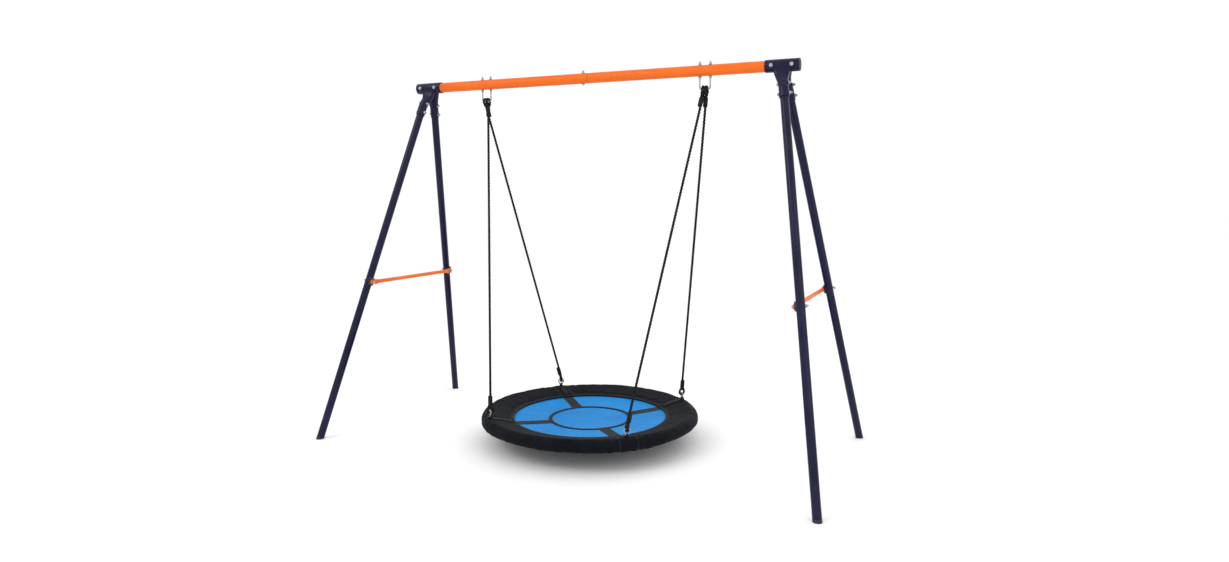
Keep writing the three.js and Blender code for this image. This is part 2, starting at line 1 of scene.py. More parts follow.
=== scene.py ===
"""Looks of the saucer nest swing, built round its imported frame. Metres, +Z up, +X along the beam."""

import math

import bpy
import numpy as np
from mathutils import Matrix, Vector


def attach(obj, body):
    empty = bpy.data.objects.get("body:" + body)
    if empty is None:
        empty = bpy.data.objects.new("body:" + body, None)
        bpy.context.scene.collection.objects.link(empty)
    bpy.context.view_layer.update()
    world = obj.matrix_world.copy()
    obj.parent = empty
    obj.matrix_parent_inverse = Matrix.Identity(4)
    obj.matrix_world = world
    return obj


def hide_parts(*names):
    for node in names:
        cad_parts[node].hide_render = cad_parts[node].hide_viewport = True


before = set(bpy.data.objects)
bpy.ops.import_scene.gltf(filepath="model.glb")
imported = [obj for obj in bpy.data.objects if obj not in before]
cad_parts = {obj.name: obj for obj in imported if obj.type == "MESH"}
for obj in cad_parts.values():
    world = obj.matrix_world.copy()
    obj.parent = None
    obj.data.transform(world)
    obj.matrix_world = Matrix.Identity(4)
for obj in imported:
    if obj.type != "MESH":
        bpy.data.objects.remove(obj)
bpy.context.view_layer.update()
bpy.context.scene.view_settings.view_transform = "Standard"

MM = 0.001
TAU = 2 * math.pi

# ------------------------------------------------------------------ sizes, in metres

BEAM_HEIGHT = 1.8
BEAM_RADIUS = 0.025
BEAM_WALL = 0.002
BEAM_TIP = 1.017
BRACKET_X = 0.945
FOOT_X = 1.25
FOOT_Y = 0.58
LEG_OFFSET = 0.018
LEG_RADIUS = 0.019
LEG_WALL = 0.0015
LEG_SEAM = 1.112
SWAGE = 0.006
JOINT_BOLT_X = -0.032
SHELL_RADIUS = 0.0283
SHELL_WALL = 0.003
HEAD_HALF_LENGTH = 0.076
NECK_BOTTOM = 0.074
SOCKET_RADIUS = 0.0223
SOCKET_BOTTOM = 0.154
HEAD_BOLT_X = 0.045
BOSS_SIZE = 0.024
BOSS_THICKNESS = 0.002
SOCKET_BOLTS = {"upper": 0.088, "lower": 0.136}
BRACE_DISTANCE = 1.072
BRACE_RADIUS = 0.010
BRACE_FLAT = (0.0025, 0.0135)
BRACE_FLAT_LENGTH = 0.034
BRACE_TAPER_LENGTH = 0.030
SADDLE_THICKNESS = 0.004
SADDLE_HALF_WIDTH = 0.014
SADDLE_HALF_HEIGHT = 0.020
GAP = 0.0003
BOLT_RADIUS = 0.004
HEX_FLATS = 0.013
HEAD_HEIGHT = 0.0053
NUT_HEIGHT = 0.0065
THREAD_END = 0.005
WASHER_RADIUS = 0.0085
WASHER_THICKNESS = 0.0016
HANGER_X = 0.59
HANGER_HALF = 0.025
HANGER_WIRE_DROP = 0.083
HANGER_CORNER = 0.009
ROPE_RADIUS = 0.0065
TOP_EYE_RADIUS = 0.017
LOWER_EYE_RADIUS = 0.0125
EYE_SHIFT = 0.0075
SEAT_HEIGHT = 0.122
RING_RADIUS = 0.517
PAD_RADIUS = 0.033
FLAP_RADIUS = 0.385
FLAP_HALF = 0.0035
MAT_EDGE = 0.445
MAT_DISH = 0.016
MAT_THICKNESS = 0.003
CENTRE_RING_RADIUS = 0.202
CENTRE_RING_WIDTH = 0.018
STRAP_HALF_WIDTH = 0.027
LOOP_WIDTH = 0.012
PEAR_LIFT = 0.056
PEAR_HALF_HEIGHT = 0.0145
PEAR_HALF_WIDTH = 0.0155
PEAR_WIRE = 0.003

ENDS = {"left": -1, "right": 1}
SIDES = {"front": -1, "rear": 1}
CORNERS = [(e, s, ENDS[e], SIDES[s]) for e in ENDS for s in SIDES]


def unit(v):
    """v scaled to length one."""
    v = np.asarray(v, float)
    return v / np.linalg.norm(v)


# ------------------------------------------------------------------ camera

CAMERA_PLACE = (1.76, -3.56, 1.25)
CAMERA_YAW = 0.428
CAMERA_PITCH = -0.111
CAMERA_LENS = 23.4


def make_camera():
    """A camera that looks along its yaw and pitch, kept level."""
    data = bpy.data.cameras.new("camera")
    data.lens = CAMERA_LENS
    data.sensor_width = 36
    data.clip_end = 60
    camera = bpy.data.objects.new("camera", data)
    look = Vector((
        -math.sin(CAMERA_YAW) * math.cos(CAMERA_PITCH),
        math.cos(CAMERA_YAW) * math.cos(CAMERA_PITCH),
        math.sin(CAMERA_PITCH),
    ))
    camera.location = CAMERA_PLACE
    camera.rotation_mode = "QUATERNION"
    camera.rotation_quaternion = look.to_track_quat("-Z", "Y")
    bpy.context.scene.collection.objects.link(camera)
    bpy.context.scene.camera = camera


make_camera()

# ------------------------------------------------------------------ skins of points


def skin(rings, closed=False, caps=True, across=1.0):
    """A closed skin over rings of points, an array (stations, points round a ring, 3).
    closed joins the last ring to the first; otherwise, with caps, each end is closed with one flat face.
    The map on it holds metres along the rings' first points and, round a ring, 0 to across."""
    rings = np.asarray(rings, float)
    n, k = rings.shape[:2]
    steps = np.linalg.norm(np.diff(rings[:, 0], axis=0), axis=1)
    along = np.concatenate([[0], np.cumsum(steps)])
    if closed:
        along = np.append(along, along[-1] + np.linalg.norm(rings[0, 0] - rings[-1, 0]))
    rows = n if closed else n - 1
    i, j = np.meshgrid(np.arange(rows), np.arange(k), indexing="ij")
    i2, j2 = (i + 1) % n, (j + 1) % k
    quads = np.stack([i * k + j, i * k + j2, i2 * k + j2, i2 * k + j], -1).reshape(-1, 4)
    u = np.stack([along[i], along[i], along[i + 1], along[i + 1]], -1).reshape(-1, 4)
    v = np.stack([j, j + 1, j + 1, j], -1).reshape(-1, 4) / k * across
    faces = [(quads, np.stack([u, v], -1))]
    if caps and not closed:
        flat = np.zeros((1, k, 2))
        faces.append((np.arange(k)[None, ::-1], flat))
        faces.append(((n - 1) * k + np.arange(k)[None, :], flat + (along[-1], 0)))
    return rings.reshape(-1, 3), faces


def panel(grid, thickness, across=1.0):
    """A sheet of even thickness over a grid of points (rows, columns, 3), closed round its edge.
    Its outline is carried round as rings: the upper row of points, then the lower row back again."""
    grid = np.asarray(grid, float)
    down = np.gradient(grid, axis=0)
    right = np.gradient(grid, axis=1)
    normal = np.cross(down, right)
    normal /= np.linalg.norm(normal, axis=2, keepdims=True)
    if normal[..., 2].mean() < 0:
        normal = -normal
    lower = grid - normal * thickness
    edge_a = (grid[:, :1] + lower[:, :1]) / 2 + (grid[:, :1] - grid[:, 1:2]) * 0.08
    edge_b = (grid[:, -1:] + lower[:, -1:]) / 2 + (grid[:, -1:] - grid[:, -2:-1]) * 0.08
    return skin(np.concatenate([grid, edge_b, lower[:, ::-1], edge_a], 1), across=across)


def placed(part, matrix):
    """A part carried by a 4x4 matrix."""
    verts, faces = part
    m = np.asarray(matrix, float)
    return verts @ m[:3, :3].T + m[:3, 3], faces


def basis(x, y, z, origin):
    """The 4x4 matrix whose axes are x, y and z, at origin."""
    m = np.eye(4)
    m[:3, 0], m[:3, 1], m[:3, 2], m[:3, 3] = x, y, z, origin
    return m


def volume(verts, faces):
    """The signed volume inside a part: positive when its faces point outwards."""
    total = 0.0
    for polygons, _ in faces:
        a = verts[polygons[:, :1]]
        b, c = verts[polygons[:, 1:-1]], verts[polygons[:, 2:]]
        total += (a * np.cross(b, c)).sum()
    return total / 6


def make_piece(name, parts, material, body, stands_for=(), sharp=40):
    """One mesh object of closed parts, with faces outwards. Edges sharper than sharp degrees stay crisp."""
    verts, starts, loops, uvs, base, at = [], [], [], [], 0, 0
    for part_verts, faces in parts:
        turn = -1 if volume(part_verts, faces) < 0 else 1
        for polygons, uv in faces:
            count, corners = polygons.shape
            loops.append((polygons[:, ::turn] + base).ravel())
            uvs.append(uv[:, ::turn].reshape(-1, 2))
            starts.append(at + np.arange(count) * corners)
            at += count * corners
        verts.append(part_verts)
        base += len(part_verts)
    mesh = bpy.data.meshes.new(name)
    mesh.vertices.add(base)
    mesh.vertices.foreach_set("co", np.concatenate(verts).astype(np.float32).ravel())
    mesh.loops.add(at)
    mesh.loops.foreach_set("vertex_index", np.concatenate(loops).astype(np.int32))
    starts = np.concatenate(starts).astype(np.int32)
    mesh.polygons.add(len(starts))
    mesh.polygons.foreach_set("loop_start", starts)
    mesh.update(calc_edges=True)
    layer = mesh.uv_layers.new(name="UVMap")
    layer.uv.foreach_set("vector", np.concatenate(uvs).astype(np.float32).ravel())
    mesh.polygons.foreach_set("use_smooth", np.ones(len(starts), bool))
    mesh.set_sharp_from_angle(angle=math.radians(sharp))
    mesh.validate()
    mesh.materials.append(material)
    piece = bpy.data.objects.new(name, mesh)
    bpy.context.scene.collection.objects.link(piece)
    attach(piece, body)
    if stands_for:
        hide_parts(*([stands_for] if isinstance(stands_for, str) else stands_for))
    return piece


def turned(profile, sides=64, start=0.0, sweep=TAU):
    """Round Z: the closed profile of (radius, height) pairs carried through sweep radians."""
    profile = np.asarray(profile, float)
    whole = abs(sweep - TAU) < 1e-9
    angle = start + np.linspace(0, sweep, sides + (0 if whole else 1), endpoint=not whole)
    r, z = profile[:, 0], profile[:, 1]
    rings = np.stack([
        np.cos(angle)[:, None] * r,
        np.sin(angle)[:, None] * r,
        np.ones_like(angle)[:, None] * z,
    ], -1)
    return skin(rings, closed=whole)


def rounded_outline(points, radius, steps=4):
    """A closed outline whose corners become arcs: each corner is cut back by radius
    and a quadratic curve runs from one cut to the next."""
    p = np.asarray(points, float)
    before, after = np.roll(p, 1, 0) - p, np.roll(p, -1, 0) - p
    la, lb = np.linalg.norm(before, axis=1), np.linalg.norm(after, axis=1)
    ra, rb = np.minimum(radius, la * 0.45), np.minimum(radius, lb * 0.45)
    a = p + before / la[:, None] * ra[:, None]
    b = p + after / lb[:, None] * rb[:, None]
    t = np.linspace(0, 1, steps)[None, :, None]
    curve = (1 - t) ** 2 * a[:, None] + 2 * t * (1 - t) * p[:, None] + t ** 2 * b[:, None]
    return curve.reshape(-1, p.shape[1])


def frames_along(path, normal):
    """Two unit vectors square to a path at each point: the first is normal made square to the path."""
    path = np.asarray(path, float)
    tangent = np.gradient(path, axis=0)
    tangent /= np.linalg.norm(tangent, axis=1, keepdims=True)
    side = normal - tangent * (tangent @ np.asarray(normal, float))[:, None]
    side /= np.linalg.norm(side, axis=1, keepdims=True)
    return side, np.cross(tangent, side)


def carried(path, outline, normal, closed=False, twist=0.0, scale=None, across=1.0):
    """The outline (points, 2), or one per station, carried along a path and turned by twist radians."""
    path = np.asarray(path, float)
    side, other = frames_along(path, normal)
    if closed:
        tangent = np.roll(path, -1, 0) - np.roll(path, 1, 0)
        tangent /= np.linalg.norm(tangent, axis=1, keepdims=True)
        side = normal - tangent * (tangent @ np.asarray(normal, float))[:, None]
        side /= np.linalg.norm(side, axis=1, keepdims=True)
        other = np.cross(tangent, side)
    outline = np.broadcast_to(np.asarray(outline, float), (len(path),) + np.shape(outline)[-2:])
    if scale is not None:
        outline = outline * np.asarray(scale)[:, None, None]
    c, s = np.cos(twist), np.sin(twist)
    c, s = np.broadcast_to(c, len(path))[:, None], np.broadcast_to(s, len(path))[:, None]
    x = outline[..., 0] * c - outline[..., 1] * s
    y = outline[..., 0] * s + outline[..., 1] * c
    rings = path[:, None] + x[..., None] * side[:, None] + y[..., None] * other[:, None]
    return skin(rings, closed=closed, across=across)


def circle(radius, sides=24):
    """A round outline."""
    angle = np.arange(sides) * TAU / sides
    return np.stack([np.cos(angle), np.sin(angle)], -1) * radius


def oval(half_x, half_y, power, sides=48):
    """A superellipse outline: round at power 2, a rounded rectangle as the power rises."""
    angle = np.arange(sides) * TAU / sides
    c, s = np.cos(angle), np.sin(angle)
    size = (np.abs(c) ** power + np.abs(s) ** power) ** (-1 / power)
    return np.stack([c * size * half_x, s * size * half_y], -1)


def closed_curve(points, count):
    """A closed Catmull-Rom curve through points, as count points."""
    p = np.asarray(points, float)
    n = len(p)
    t = np.arange(count) * n / count
    i = t.astype(int)
    f = (t - i)[:, None]
    a, b, c, d = p[(i - 1) % n], p[i % n], p[(i + 1) % n], p[(i + 2) % n]
    return 0.5 * (2 * b + (c - a) * f + (2 * a - 5 * b + 4 * c - d) * f ** 2
                  + (3 * b - a - 3 * c + d) * f ** 3)


def smooth(a, b, x):
    """0 below a, 1 above b, with an even S between."""
    t = np.clip((np.asarray(x, float) - a) / (b - a), 0, 1)
    return t * t * (3 - 2 * t)


# ------------------------------------------------------------------ frames of reference


def leg_matrix(end, side):
    """A leg's own frame: its origin beside the beam, -Z down the leg, X level with the beam."""
    top = np.array([end * BRACKET_X, side * LEG_OFFSET, BEAM_HEIGHT])
    foot = np.array([end * FOOT_X, side * FOOT_Y, 0])
    up = unit(top - foot)
    across = unit(np.array([1, 0, 0]) - up * up[0])
    return basis(across, np.cross(up, across), up, top)


def at(matrix, point):
    """A point of a frame, in the row frame."""
    return matrix[:3, :3] @ np.asarray(point, float) + matrix[:3, 3]


def shifted(matrix, point):
    """The frame moved to one of its own points."""
    moved = matrix.copy()
    moved[:3, 3] = at(matrix, point)
    return moved


def brace_matrix(end):
    """A brace's own frame: Y from the front leg to the rear one, X square to its flat ends."""
    offset = LEG_RADIUS + GAP + SADDLE_THICKNESS + GAP + BRACE_FLAT[0]
    front, rear = (at(leg_matrix(end, s), (-end * offset, 0, -BRACE_DISTANCE)) for s in (-1, 1))
    across = leg_matrix(end, 1)[:3, 0] * (1, 0, 1)
    across = unit(across)
    y = np.array([0, 1.0, 0])
    return basis(across, y, np.cross(across, y), (front + rear) / 2), np.linalg.norm(rear - front)


# ------------------------------------------------------------------ materials


def colour(red, green, blue):
    """A linear colour from 0 to 255 display values."""
    value = np.array([red, green, blue]) / 255
    linear = np.where(value <= 0.04045, value / 12.92, ((value + 0.055) / 1.055) ** 2.4)
    return (*linear.tolist(), 1)


def add(tree, kind, inputs=(), **settings):
    """A shader node with its inputs linked to sockets or set to values."""
    made = tree.nodes.new("ShaderNode" + kind)
    for key, value in settings.items():
        setattr(made, key, value)
    for key, value in dict(inputs).items():
        if isinstance(value, bpy.types.NodeSocket):
            tree.links.new(value, made.inputs[key])
        else:
            made.inputs[key].default_value = value
    return made


def calc(tree, operation, *values):
    """One Math node on values or sockets."""
    return add(tree, "Math", enumerate(values), operation=operation).outputs[0]


def mixed(tree, share, first, second):
    """The colour between first and second."""
    inputs = {"Factor": share, "A": first, "B": second}
    made = tree.nodes.new("ShaderNodeMix")
    made.data_type = "RGBA"
    sockets = {s.name: s for s in made.inputs if s.type == "RGBA"}
    sockets["Factor"] = made.inputs[0]
    for key, value in inputs.items():
        if isinstance(value, bpy.types.NodeSocket):
            tree.links.new(value, sockets[key])
        else:
            sockets[key].default_value = value
    return next(s for s in made.outputs if s.type == "RGBA")


def ranged(tree, value, low, high, to_low, to_high):
    """value carried from low..high to to_low..to_high."""
    inputs = {"Value": value, "From Min": low, "From Max": high, "To Min": to_low, "To Max": to_high}
    return add(tree, "MapRange", inputs).outputs[0]


def noise(tree, vector, scale, detail=3.0, roughness=0.55):
    """Smooth noise from 0 to 1."""
    inputs = {"Vector": vector, "Scale": scale, "Detail": detail, "Roughness": roughness}
    return add(tree, "TexNoise", inputs).outputs["Fac"]


def shader_group(name, inputs, outputs):
    """An empty node group with float inputs, a Vector input, and float outputs."""
    tree = bpy.data.node_groups.new(name, "ShaderNodeTree")
    tree.interface.new_socket(name="Vector", in_out="INPUT", socket_type="NodeSocketVector")
    for label in inputs:
        tree.interface.new_socket(name=label, in_out="INPUT", socket_type="NodeSocketFloat")
    for label in outputs:
        tree.interface.new_socket(name=label, in_out="OUTPUT", socket_type="NodeSocketFloat")
    return tree, tree.nodes.new("NodeGroupInput"), tree.nodes.new("NodeGroupOutput")


def fine_grain():
    """Small bumps with slower swells under them, as sprayed or moulded skin has."""
    tree, given, made = shader_group("Fine_Grain", ["Scale", "Swell"], ["Height"])
    small = noise(tree, given.outputs["Vector"], given.outputs["Scale"], 2.0)
    slow = noise(tree, given.outputs["Vector"], calc(tree, "MULTIPLY", given.outputs["Scale"], 0.12), 2.0)
    swell = calc(tree, "MULTIPLY", slow, given.outputs["Swell"])
    tree.links.new(calc(tree, "ADD", small, swell), made.inputs["Height"])
    return tree


def edge_wear():
    """A mask of rubbed edges: where the surface is convex, broken up by noise."""
    tree, given, made = shader_group("Edge_Wear", ["Amount", "Scale"], ["Mask"])
    convex = ranged(tree, add(tree, "NewGeometry").outputs["Pointiness"], 0.52, 0.60, 0.0, 1.0)
    blotches = noise(tree, given.outputs["Vector"], given.outputs["Scale"], 5.0)
    patchy = ranged(tree, blotches, 0.42, 0.66, 0.0, 1.0)
    rubbed = calc(tree, "MULTIPLY", convex, patchy)
    tree.links.new(calc(tree, "MULTIPLY", rubbed, given.outputs["Amount"]), made.inputs["Mask"])
    return tree


def settled_dust():
    """A mask of dust: more on faces that look up, and in soft patches."""
    tree, given, made = shader_group("Settled_Dust", ["Amount", "Scale"], ["Mask"])
    normal = add(tree, "SeparateXYZ", {"Vector": add(tree, "NewGeometry").outputs["Normal"]}).outputs["Z"]
    upward = ranged(tree, normal, -0.2, 1.0, 0.15, 1.0)
    blotches = noise(tree, given.outputs["Vector"], given.outputs["Scale"], 6.0)
    patchy = ranged(tree, blotches, 0.35, 0.75, 0.0, 1.0)
    laid = calc(tree, "MULTIPLY", upward, patchy)
    tree.links.new(calc(tree, "MULTIPLY", laid, given.outputs["Amount"]), made.inputs["Mask"])
    return tree


def plain_weave():
    """Threads crossing over and under each other. Vector is counted in threads.
    Height is the upper thread's round back, and Gap is the hole at each corner."""
    tree, given, made = shader_group("Plain_Weave", ["Open"], ["Height", "Gap", "Over"])
    split = add(tree, "SeparateXYZ", {"Vector": given.outputs["Vector"]})
    x, y = split.outputs["X"], split.outputs["Y"]
    across = calc(tree, "ABSOLUTE", calc(tree, "SINE", calc(tree, "MULTIPLY", x, math.pi)))
    down = calc(tree, "ABSOLUTE", calc(tree, "SINE", calc(tree, "MULTIPLY", y, math.pi)))
    square = calc(tree, "ADD", calc(tree, "FLOOR", x), calc(tree, "FLOOR", y))
    over = calc(tree, "FLOORED_MODULO", square, 2.0)
    under = calc(tree, "SUBTRACT", 1.0, over)
    warp = calc(tree, "MULTIPLY", calc(tree, "MULTIPLY", across, over), calc(tree, "POWER", down, 0.4))
    weft = calc(tree, "MULTIPLY", calc(tree, "MULTIPLY", down, under), calc(tree, "POWER", across, 0.4))
    height = calc(tree, "ADD", warp, weft)
    corner = calc(tree, "MAXIMUM", across, down)
    gap = calc(tree, "LESS_THAN", corner, given.outputs["Open"])
    tree.links.new(height, made.inputs["Height"])
    tree.links.new(gap, made.inputs["Gap"])
    tree.links.new(over, made.inputs["Over"])
    return tree


def tone_drift():
    """Slow, soft changes of tone with finer ones over them, from 0 to 1."""
    tree, given, made = shader_group("Tone_Drift", ["Scale", "Contrast"], ["Tone"])
    slow = noise(tree, given.outputs["Vector"], given.outputs["Scale"], 2.0)
    fine = noise(tree, given.outputs["Vector"], calc(tree, "MULTIPLY", given.outputs["Scale"], 7.0), 4.0)
    both = calc(tree, "ADD", calc(tree, "MULTIPLY", slow, 0.7), calc(tree, "MULTIPLY", fine, 0.3))
    spread = calc(tree, "MULTIPLY", calc(tree, "SUBTRACT", both, 0.5), given.outputs["Contrast"])
    tree.links.new(add(tree, "Clamp", {0: calc(tree, "ADD", spread, 0.5)}).outputs[0], made.inputs["Tone"])
    return tree


GROUPS = {make.__name__: make() for make in (fine_grain, edge_wear, settled_dust, plain_weave, tone_drift)}


def use(tree, name, vector, **values):
    """A placed group with its own values, as {output name: socket}."""
    made = tree.nodes.new("ShaderNodeGroup")
    made.node_tree = GROUPS[name]
    tree.links.new(vector, made.inputs["Vector"])
    for key, value in values.items():
        made.inputs[key.capitalize()].default_value = value
    return {s.name: s for s in made.outputs}


def new_material(name, **constants):
    """An empty material with a Principled shader: (tree, shader, object coordinates, map coordinates)."""
    material = bpy.data.materials.new(name)
    material.use_nodes = True
    tree = material.node_tree
    shader = tree.nodes["Principled BSDF"]
    for key, value in constants.items():
        shader.inputs[key.replace("_", " ")].default_value = value
    place = add(tree, "TexCoord")
    return material, tree, shader, place.outputs["Object"], place.outputs["UV"]


def finish_surface(tree, shader, base, roughness, height, strength, distance):
    """Links colour and roughness to the shader, and height to it as a bump."""
    tree.links.new(base, shader.inputs["Base Color"])
    tree.links.new(roughness, shader.inputs["Roughness"])
    bump = add(tree, "Bump", {"Height": height, "Strength": strength, "Distance": distance})
    tree.links.new(bump.outputs["Normal"], shader.inputs["Normal"])


def powder_coat(name, light, deep, bare, roughness):
    """Sprayed and baked powder paint: fine orange peel, slow tone changes, rubbed edges and a little dust."""
    material, tree, shader, place, _ = new_material(name, Coat_Roughness=0.10, Specular_IOR_Level=0.14)
    tone = use(tree, "tone_drift", place, scale=3.0, contrast=2.2)["Tone"]
    worn = use(tree, "edge_wear", place, amount=0.55, scale=90.0)["Mask"]
    dust = use(tree, "settled_dust", place, amount=0.05, scale=14.0)["Mask"]
    base = mixed(tree, tone, deep, light)
    base = mixed(tree, worn, base, bare)
    base = mixed(tree, dust, base, colour(168, 160, 150))
    rough = calc(tree, "ADD", ranged(tree, tone, 0.0, 1.0, roughness + 0.05, roughness - 0.03),
                 calc(tree, "MULTIPLY", dust, 1.6))
    grain = use(tree, "fine_grain", place, scale=420.0, swell=2.0)["Height"]
    finish_surface(tree, shader, base, rough, grain, 0.10, 0.0006)
    tree.links.new(ranged(tree, dust, 0.0, 0.1, 0.11, 0.04), shader.inputs["Coat Weight"])
    return material


def zinc_plate():
    """Bright zinc plate: soft spangle, fine brushing and dull patches."""
    material, tree, shader, place, _ = new_material("zinc_plate", Metallic=1.0)
    tone = use(tree, "tone_drift", place, scale=40.0, contrast=2.5)["Tone"]
    spangle = add(tree, "TexVoronoi", {"Vector": place, "Scale": 420.0}).outputs["Distance"]
    worn = use(tree, "edge_wear", place, amount=0.5, scale=300.0)["Mask"]
    base = mixed(tree, tone, colour(122, 126, 134), colour(188, 190, 197))
    base = mixed(tree, calc(tree, "MULTIPLY", spangle, 0.25), base, colour(196, 198, 190))
    base = mixed(tree, worn, base, colour(238, 238, 240))
    rough = ranged(tree, tone, 0.0, 1.0, 0.42, 0.22)
    grain = use(tree, "fine_grain", place, scale=900.0, swell=1.0)["Height"]
    finish_surface(tree, shader, base, rough, grain, 0.12, 0.0003)
    return material


def moulded_plastic():
    """Moulded black plastic with a fine spark-eroded grain and scuffed edges."""
    material, tree, shader, place, _ = new_material("moulded_plastic", Specular_IOR_Level=0.4)
    tone = use(tree, "tone_drift", place, scale=25.0, contrast=2.0)["Tone"]
    worn = use(tree, "edge_wear", place, amount=0.4, scale=160.0)["Mask"]
    dust = use(tree, "settled_dust", place, amount=0.05, scale=30.0)["Mask"]
    base = mixed(tree, tone, colour(12, 12, 14), colour(24, 24, 27))
    base = mixed(tree, worn, base, colour(78, 78, 80))
    base = mixed(tree, dust, base, colour(140, 134, 126))
    rough = ranged(tree, tone, 0.0, 1.0, 0.58, 0.42)
    grain = use(tree, "fine_grain", place, scale=1500.0, swell=0.5)["Height"]
    finish_surface(tree, shader, base, rough, grain, 0.25, 0.0003)
    return material


def rope_fibre():
    """Black laid rope: yarns that lean across each strand, with loose fibres catching the light."""
    material, tree, shader, place, chart = new_material(
        "rope_fibre", Specular_IOR_Level=0.12, Sheen_Weight=0.02, Sheen_Roughness=0.5)
    split = add(tree, "SeparateXYZ", {"Vector": chart})
    lean = calc(tree, "ADD", calc(tree, "MULTIPLY", split.outputs["X"], 160.0),
                calc(tree, "MULTIPLY", split.outputs["Y"], 24.0))
    yarn = calc(tree, "ABSOLUTE", calc(tree, "SINE", calc(tree, "MULTIPLY", lean, math.pi)))
    tone = use(tree, "tone_drift", place, scale=60.0, contrast=2.6)["Tone"]
    dust = use(tree, "settled_dust", place, amount=0.04, scale=50.0)["Mask"]
    base = mixed(tree, calc(tree, "MULTIPLY", yarn, tone), colour(9, 9, 11), colour(44, 44, 48))
    base = mixed(tree, dust, base, colour(140, 134, 126))
    rough = ranged(tree, yarn, 0.0, 1.0, 0.85, 0.55)
    fuzz = use(tree, "fine_grain", place, scale=1400.0, swell=1.0)["Height"]
    height = calc(tree, "ADD", yarn, calc(tree, "MULTIPLY", fuzz, 0.35))
    finish_surface(tree, shader, base, rough, height, 0.7, 0.0006)
    return material


def woven_cloth():
    """Black coated polyester cloth: a tight plain weave, paler where it is rubbed on its folds."""
    material, tree, shader, place, chart = new_material(
        "woven_cloth", Specular_IOR_Level=0.05, Sheen_Weight=0.01, Sheen_Roughness=0.45)
    threads = add(tree, "Mapping", {"Vector": chart, "Scale": (900.0, 900.0, 1.0)}).outputs[0]
    weave = use(tree, "plain_weave", threads, open=0.12)
    tone = use(tree, "tone_drift", place, scale=9.0, contrast=2.4)["Tone"]
    worn = use(tree, "edge_wear", place, amount=0.35, scale=60.0)["Mask"]
    dust = use(tree, "settled_dust", place, amount=0.02, scale=9.0)["Mask"]
    base = mixed(tree, tone, colour(6, 8, 12), colour(17, 20, 26))
    base = mixed(tree, calc(tree, "MULTIPLY", weave["Over"], 0.3), base, colour(24, 28, 35))
    base = mixed(tree, worn, base, colour(40, 43, 50))
    base = mixed(tree, dust, base, colour(128, 122, 116))
    rough = ranged(tree, weave["Height"], 0.0, 1.0, 0.82, 0.58)
    crease = noise(tree, place, 55.0, 4.0)
    threads_height = calc(tree, "MULTIPLY", weave["Height"], 0.25)
    height = calc(tree, "ADD", threads_height, calc(tree, "MULTIPLY", crease, 1.6))
    finish_surface(tree, shader, base, rough, height, 0.45, 0.0012)
    return material


def ribbed_webbing():
    """Flat black webbing: ribs across its length, split by finer chevron threads."""
    material, tree, shader, place, chart = new_material(
        "ribbed_webbing", Specular_IOR_Level=0.12, Sheen_Weight=0.01, Sheen_Roughness=0.4)
    split = add(tree, "SeparateXYZ", {"Vector": chart})
    zigzag = calc(tree, "PINGPONG", calc(tree, "MULTIPLY", split.outputs["Y"], 160.0), 1.0)
    along = calc(tree, "MULTIPLY", split.outputs["X"], 480.0)
    ribs = calc(tree, "ADD", along, calc(tree, "MULTIPLY", zigzag, 0.5))
    height = calc(tree, "ABSOLUTE", calc(tree, "SINE", calc(tree, "MULTIPLY", ribs, math.pi)))
    tone = use(tree, "tone_drift", place, scale=30.0, contrast=2.2)["Tone"]
    worn = use(tree, "edge_wear", place, amount=0.3, scale=120.0)["Mask"]
    base = mixed(tree, tone, colour(9, 9, 11), colour(18, 18, 21))
    base = mixed(tree, calc(tree, "MULTIPLY", height, 0.35), base, colour(30, 30, 34))
    base = mixed(tree, worn, base, colour(50, 50, 54))
    rough = ranged(tree, height, 0.0, 1.0, 0.75, 0.5)
    finish_surface(tree, shader, base, rough, height, 0.5, 0.0006)
    return material


def mat_tape():
    """Bright blue mat woven from flat plastic tapes: paler crowns, dark pin holes, and painted shade that
    darkens its down-facing side.
    """
    material, tree, shader, place, _ = new_material(
        "mat_tape", Specular_IOR_Level=0.05, Sheen_Weight=0.01, Sheen_Roughness=0.4)
    tapes = add(tree, "Mapping", {"Vector": place, "Scale": (330.0, 330.0, 1.0)}).outputs[0]
    weave = use(tree, "plain_weave", tapes, open=0.22)
    tone = use(tree, "tone_drift", place, scale=5.0, contrast=2.4)["Tone"]
    dust = use(tree, "settled_dust", place, amount=0.012, scale=7.0)["Mask"]
    base = mixed(tree, tone, colour(2, 112, 186), colour(8, 134, 208))
    base = mixed(tree, calc(tree, "MULTIPLY", weave["Over"], 0.28), base, colour(26, 154, 226))
    base = mixed(tree, calc(tree, "MULTIPLY", weave["Gap"], 0.75), base, colour(6, 54, 112))
    base = mixed(tree, dust, base, colour(176, 184, 190))
    # Painted shade: faces whose normal points down are darkened to a dark grey-blue, which damps the blue
    # light the underside bounces onto the floor.
    facing = add(tree, "SeparateXYZ", {"Vector": add(tree, "NewGeometry").outputs["Normal"]}).outputs["Z"]
    base = mixed(tree, ranged(tree, facing, -0.2, 0.2, 1.0, 0.0), base, colour(22, 30, 44))
    rough = ranged(tree, weave["Height"], 0.0, 1.0, 0.6, 0.36)
    crease = noise(tree, place, 16.0, 3.0)
    tapes_height = calc(tree, "MULTIPLY", weave["Height"], 0.2)
    height = calc(tree, "ADD", tapes_height, calc(tree, "MULTIPLY", crease, 1.5))
    finish_surface(tree, shader, base, rough, height, 0.35, 0.002)
    return material


def sewing_thread():
    """Dark grey sewing thread with a waxed shine."""
    material, tree, shader, place, _ = new_material("sewing_thread", Sheen_Weight=0.2)
    tone = use(tree, "tone_drift", place, scale=120.0, contrast=2.5)["Tone"]
    base = mixed(tree, tone, colour(34, 34, 38), colour(66, 66, 72))
    rough = ranged(tree, tone, 0.0, 1.0, 0.7, 0.5)
    twist = use(tree, "fine_grain", place, scale=2600.0, swell=0.5)["Height"]
    finish_surface(tree, shader, base, rough, twist, 0.4, 0.0003)
    return material


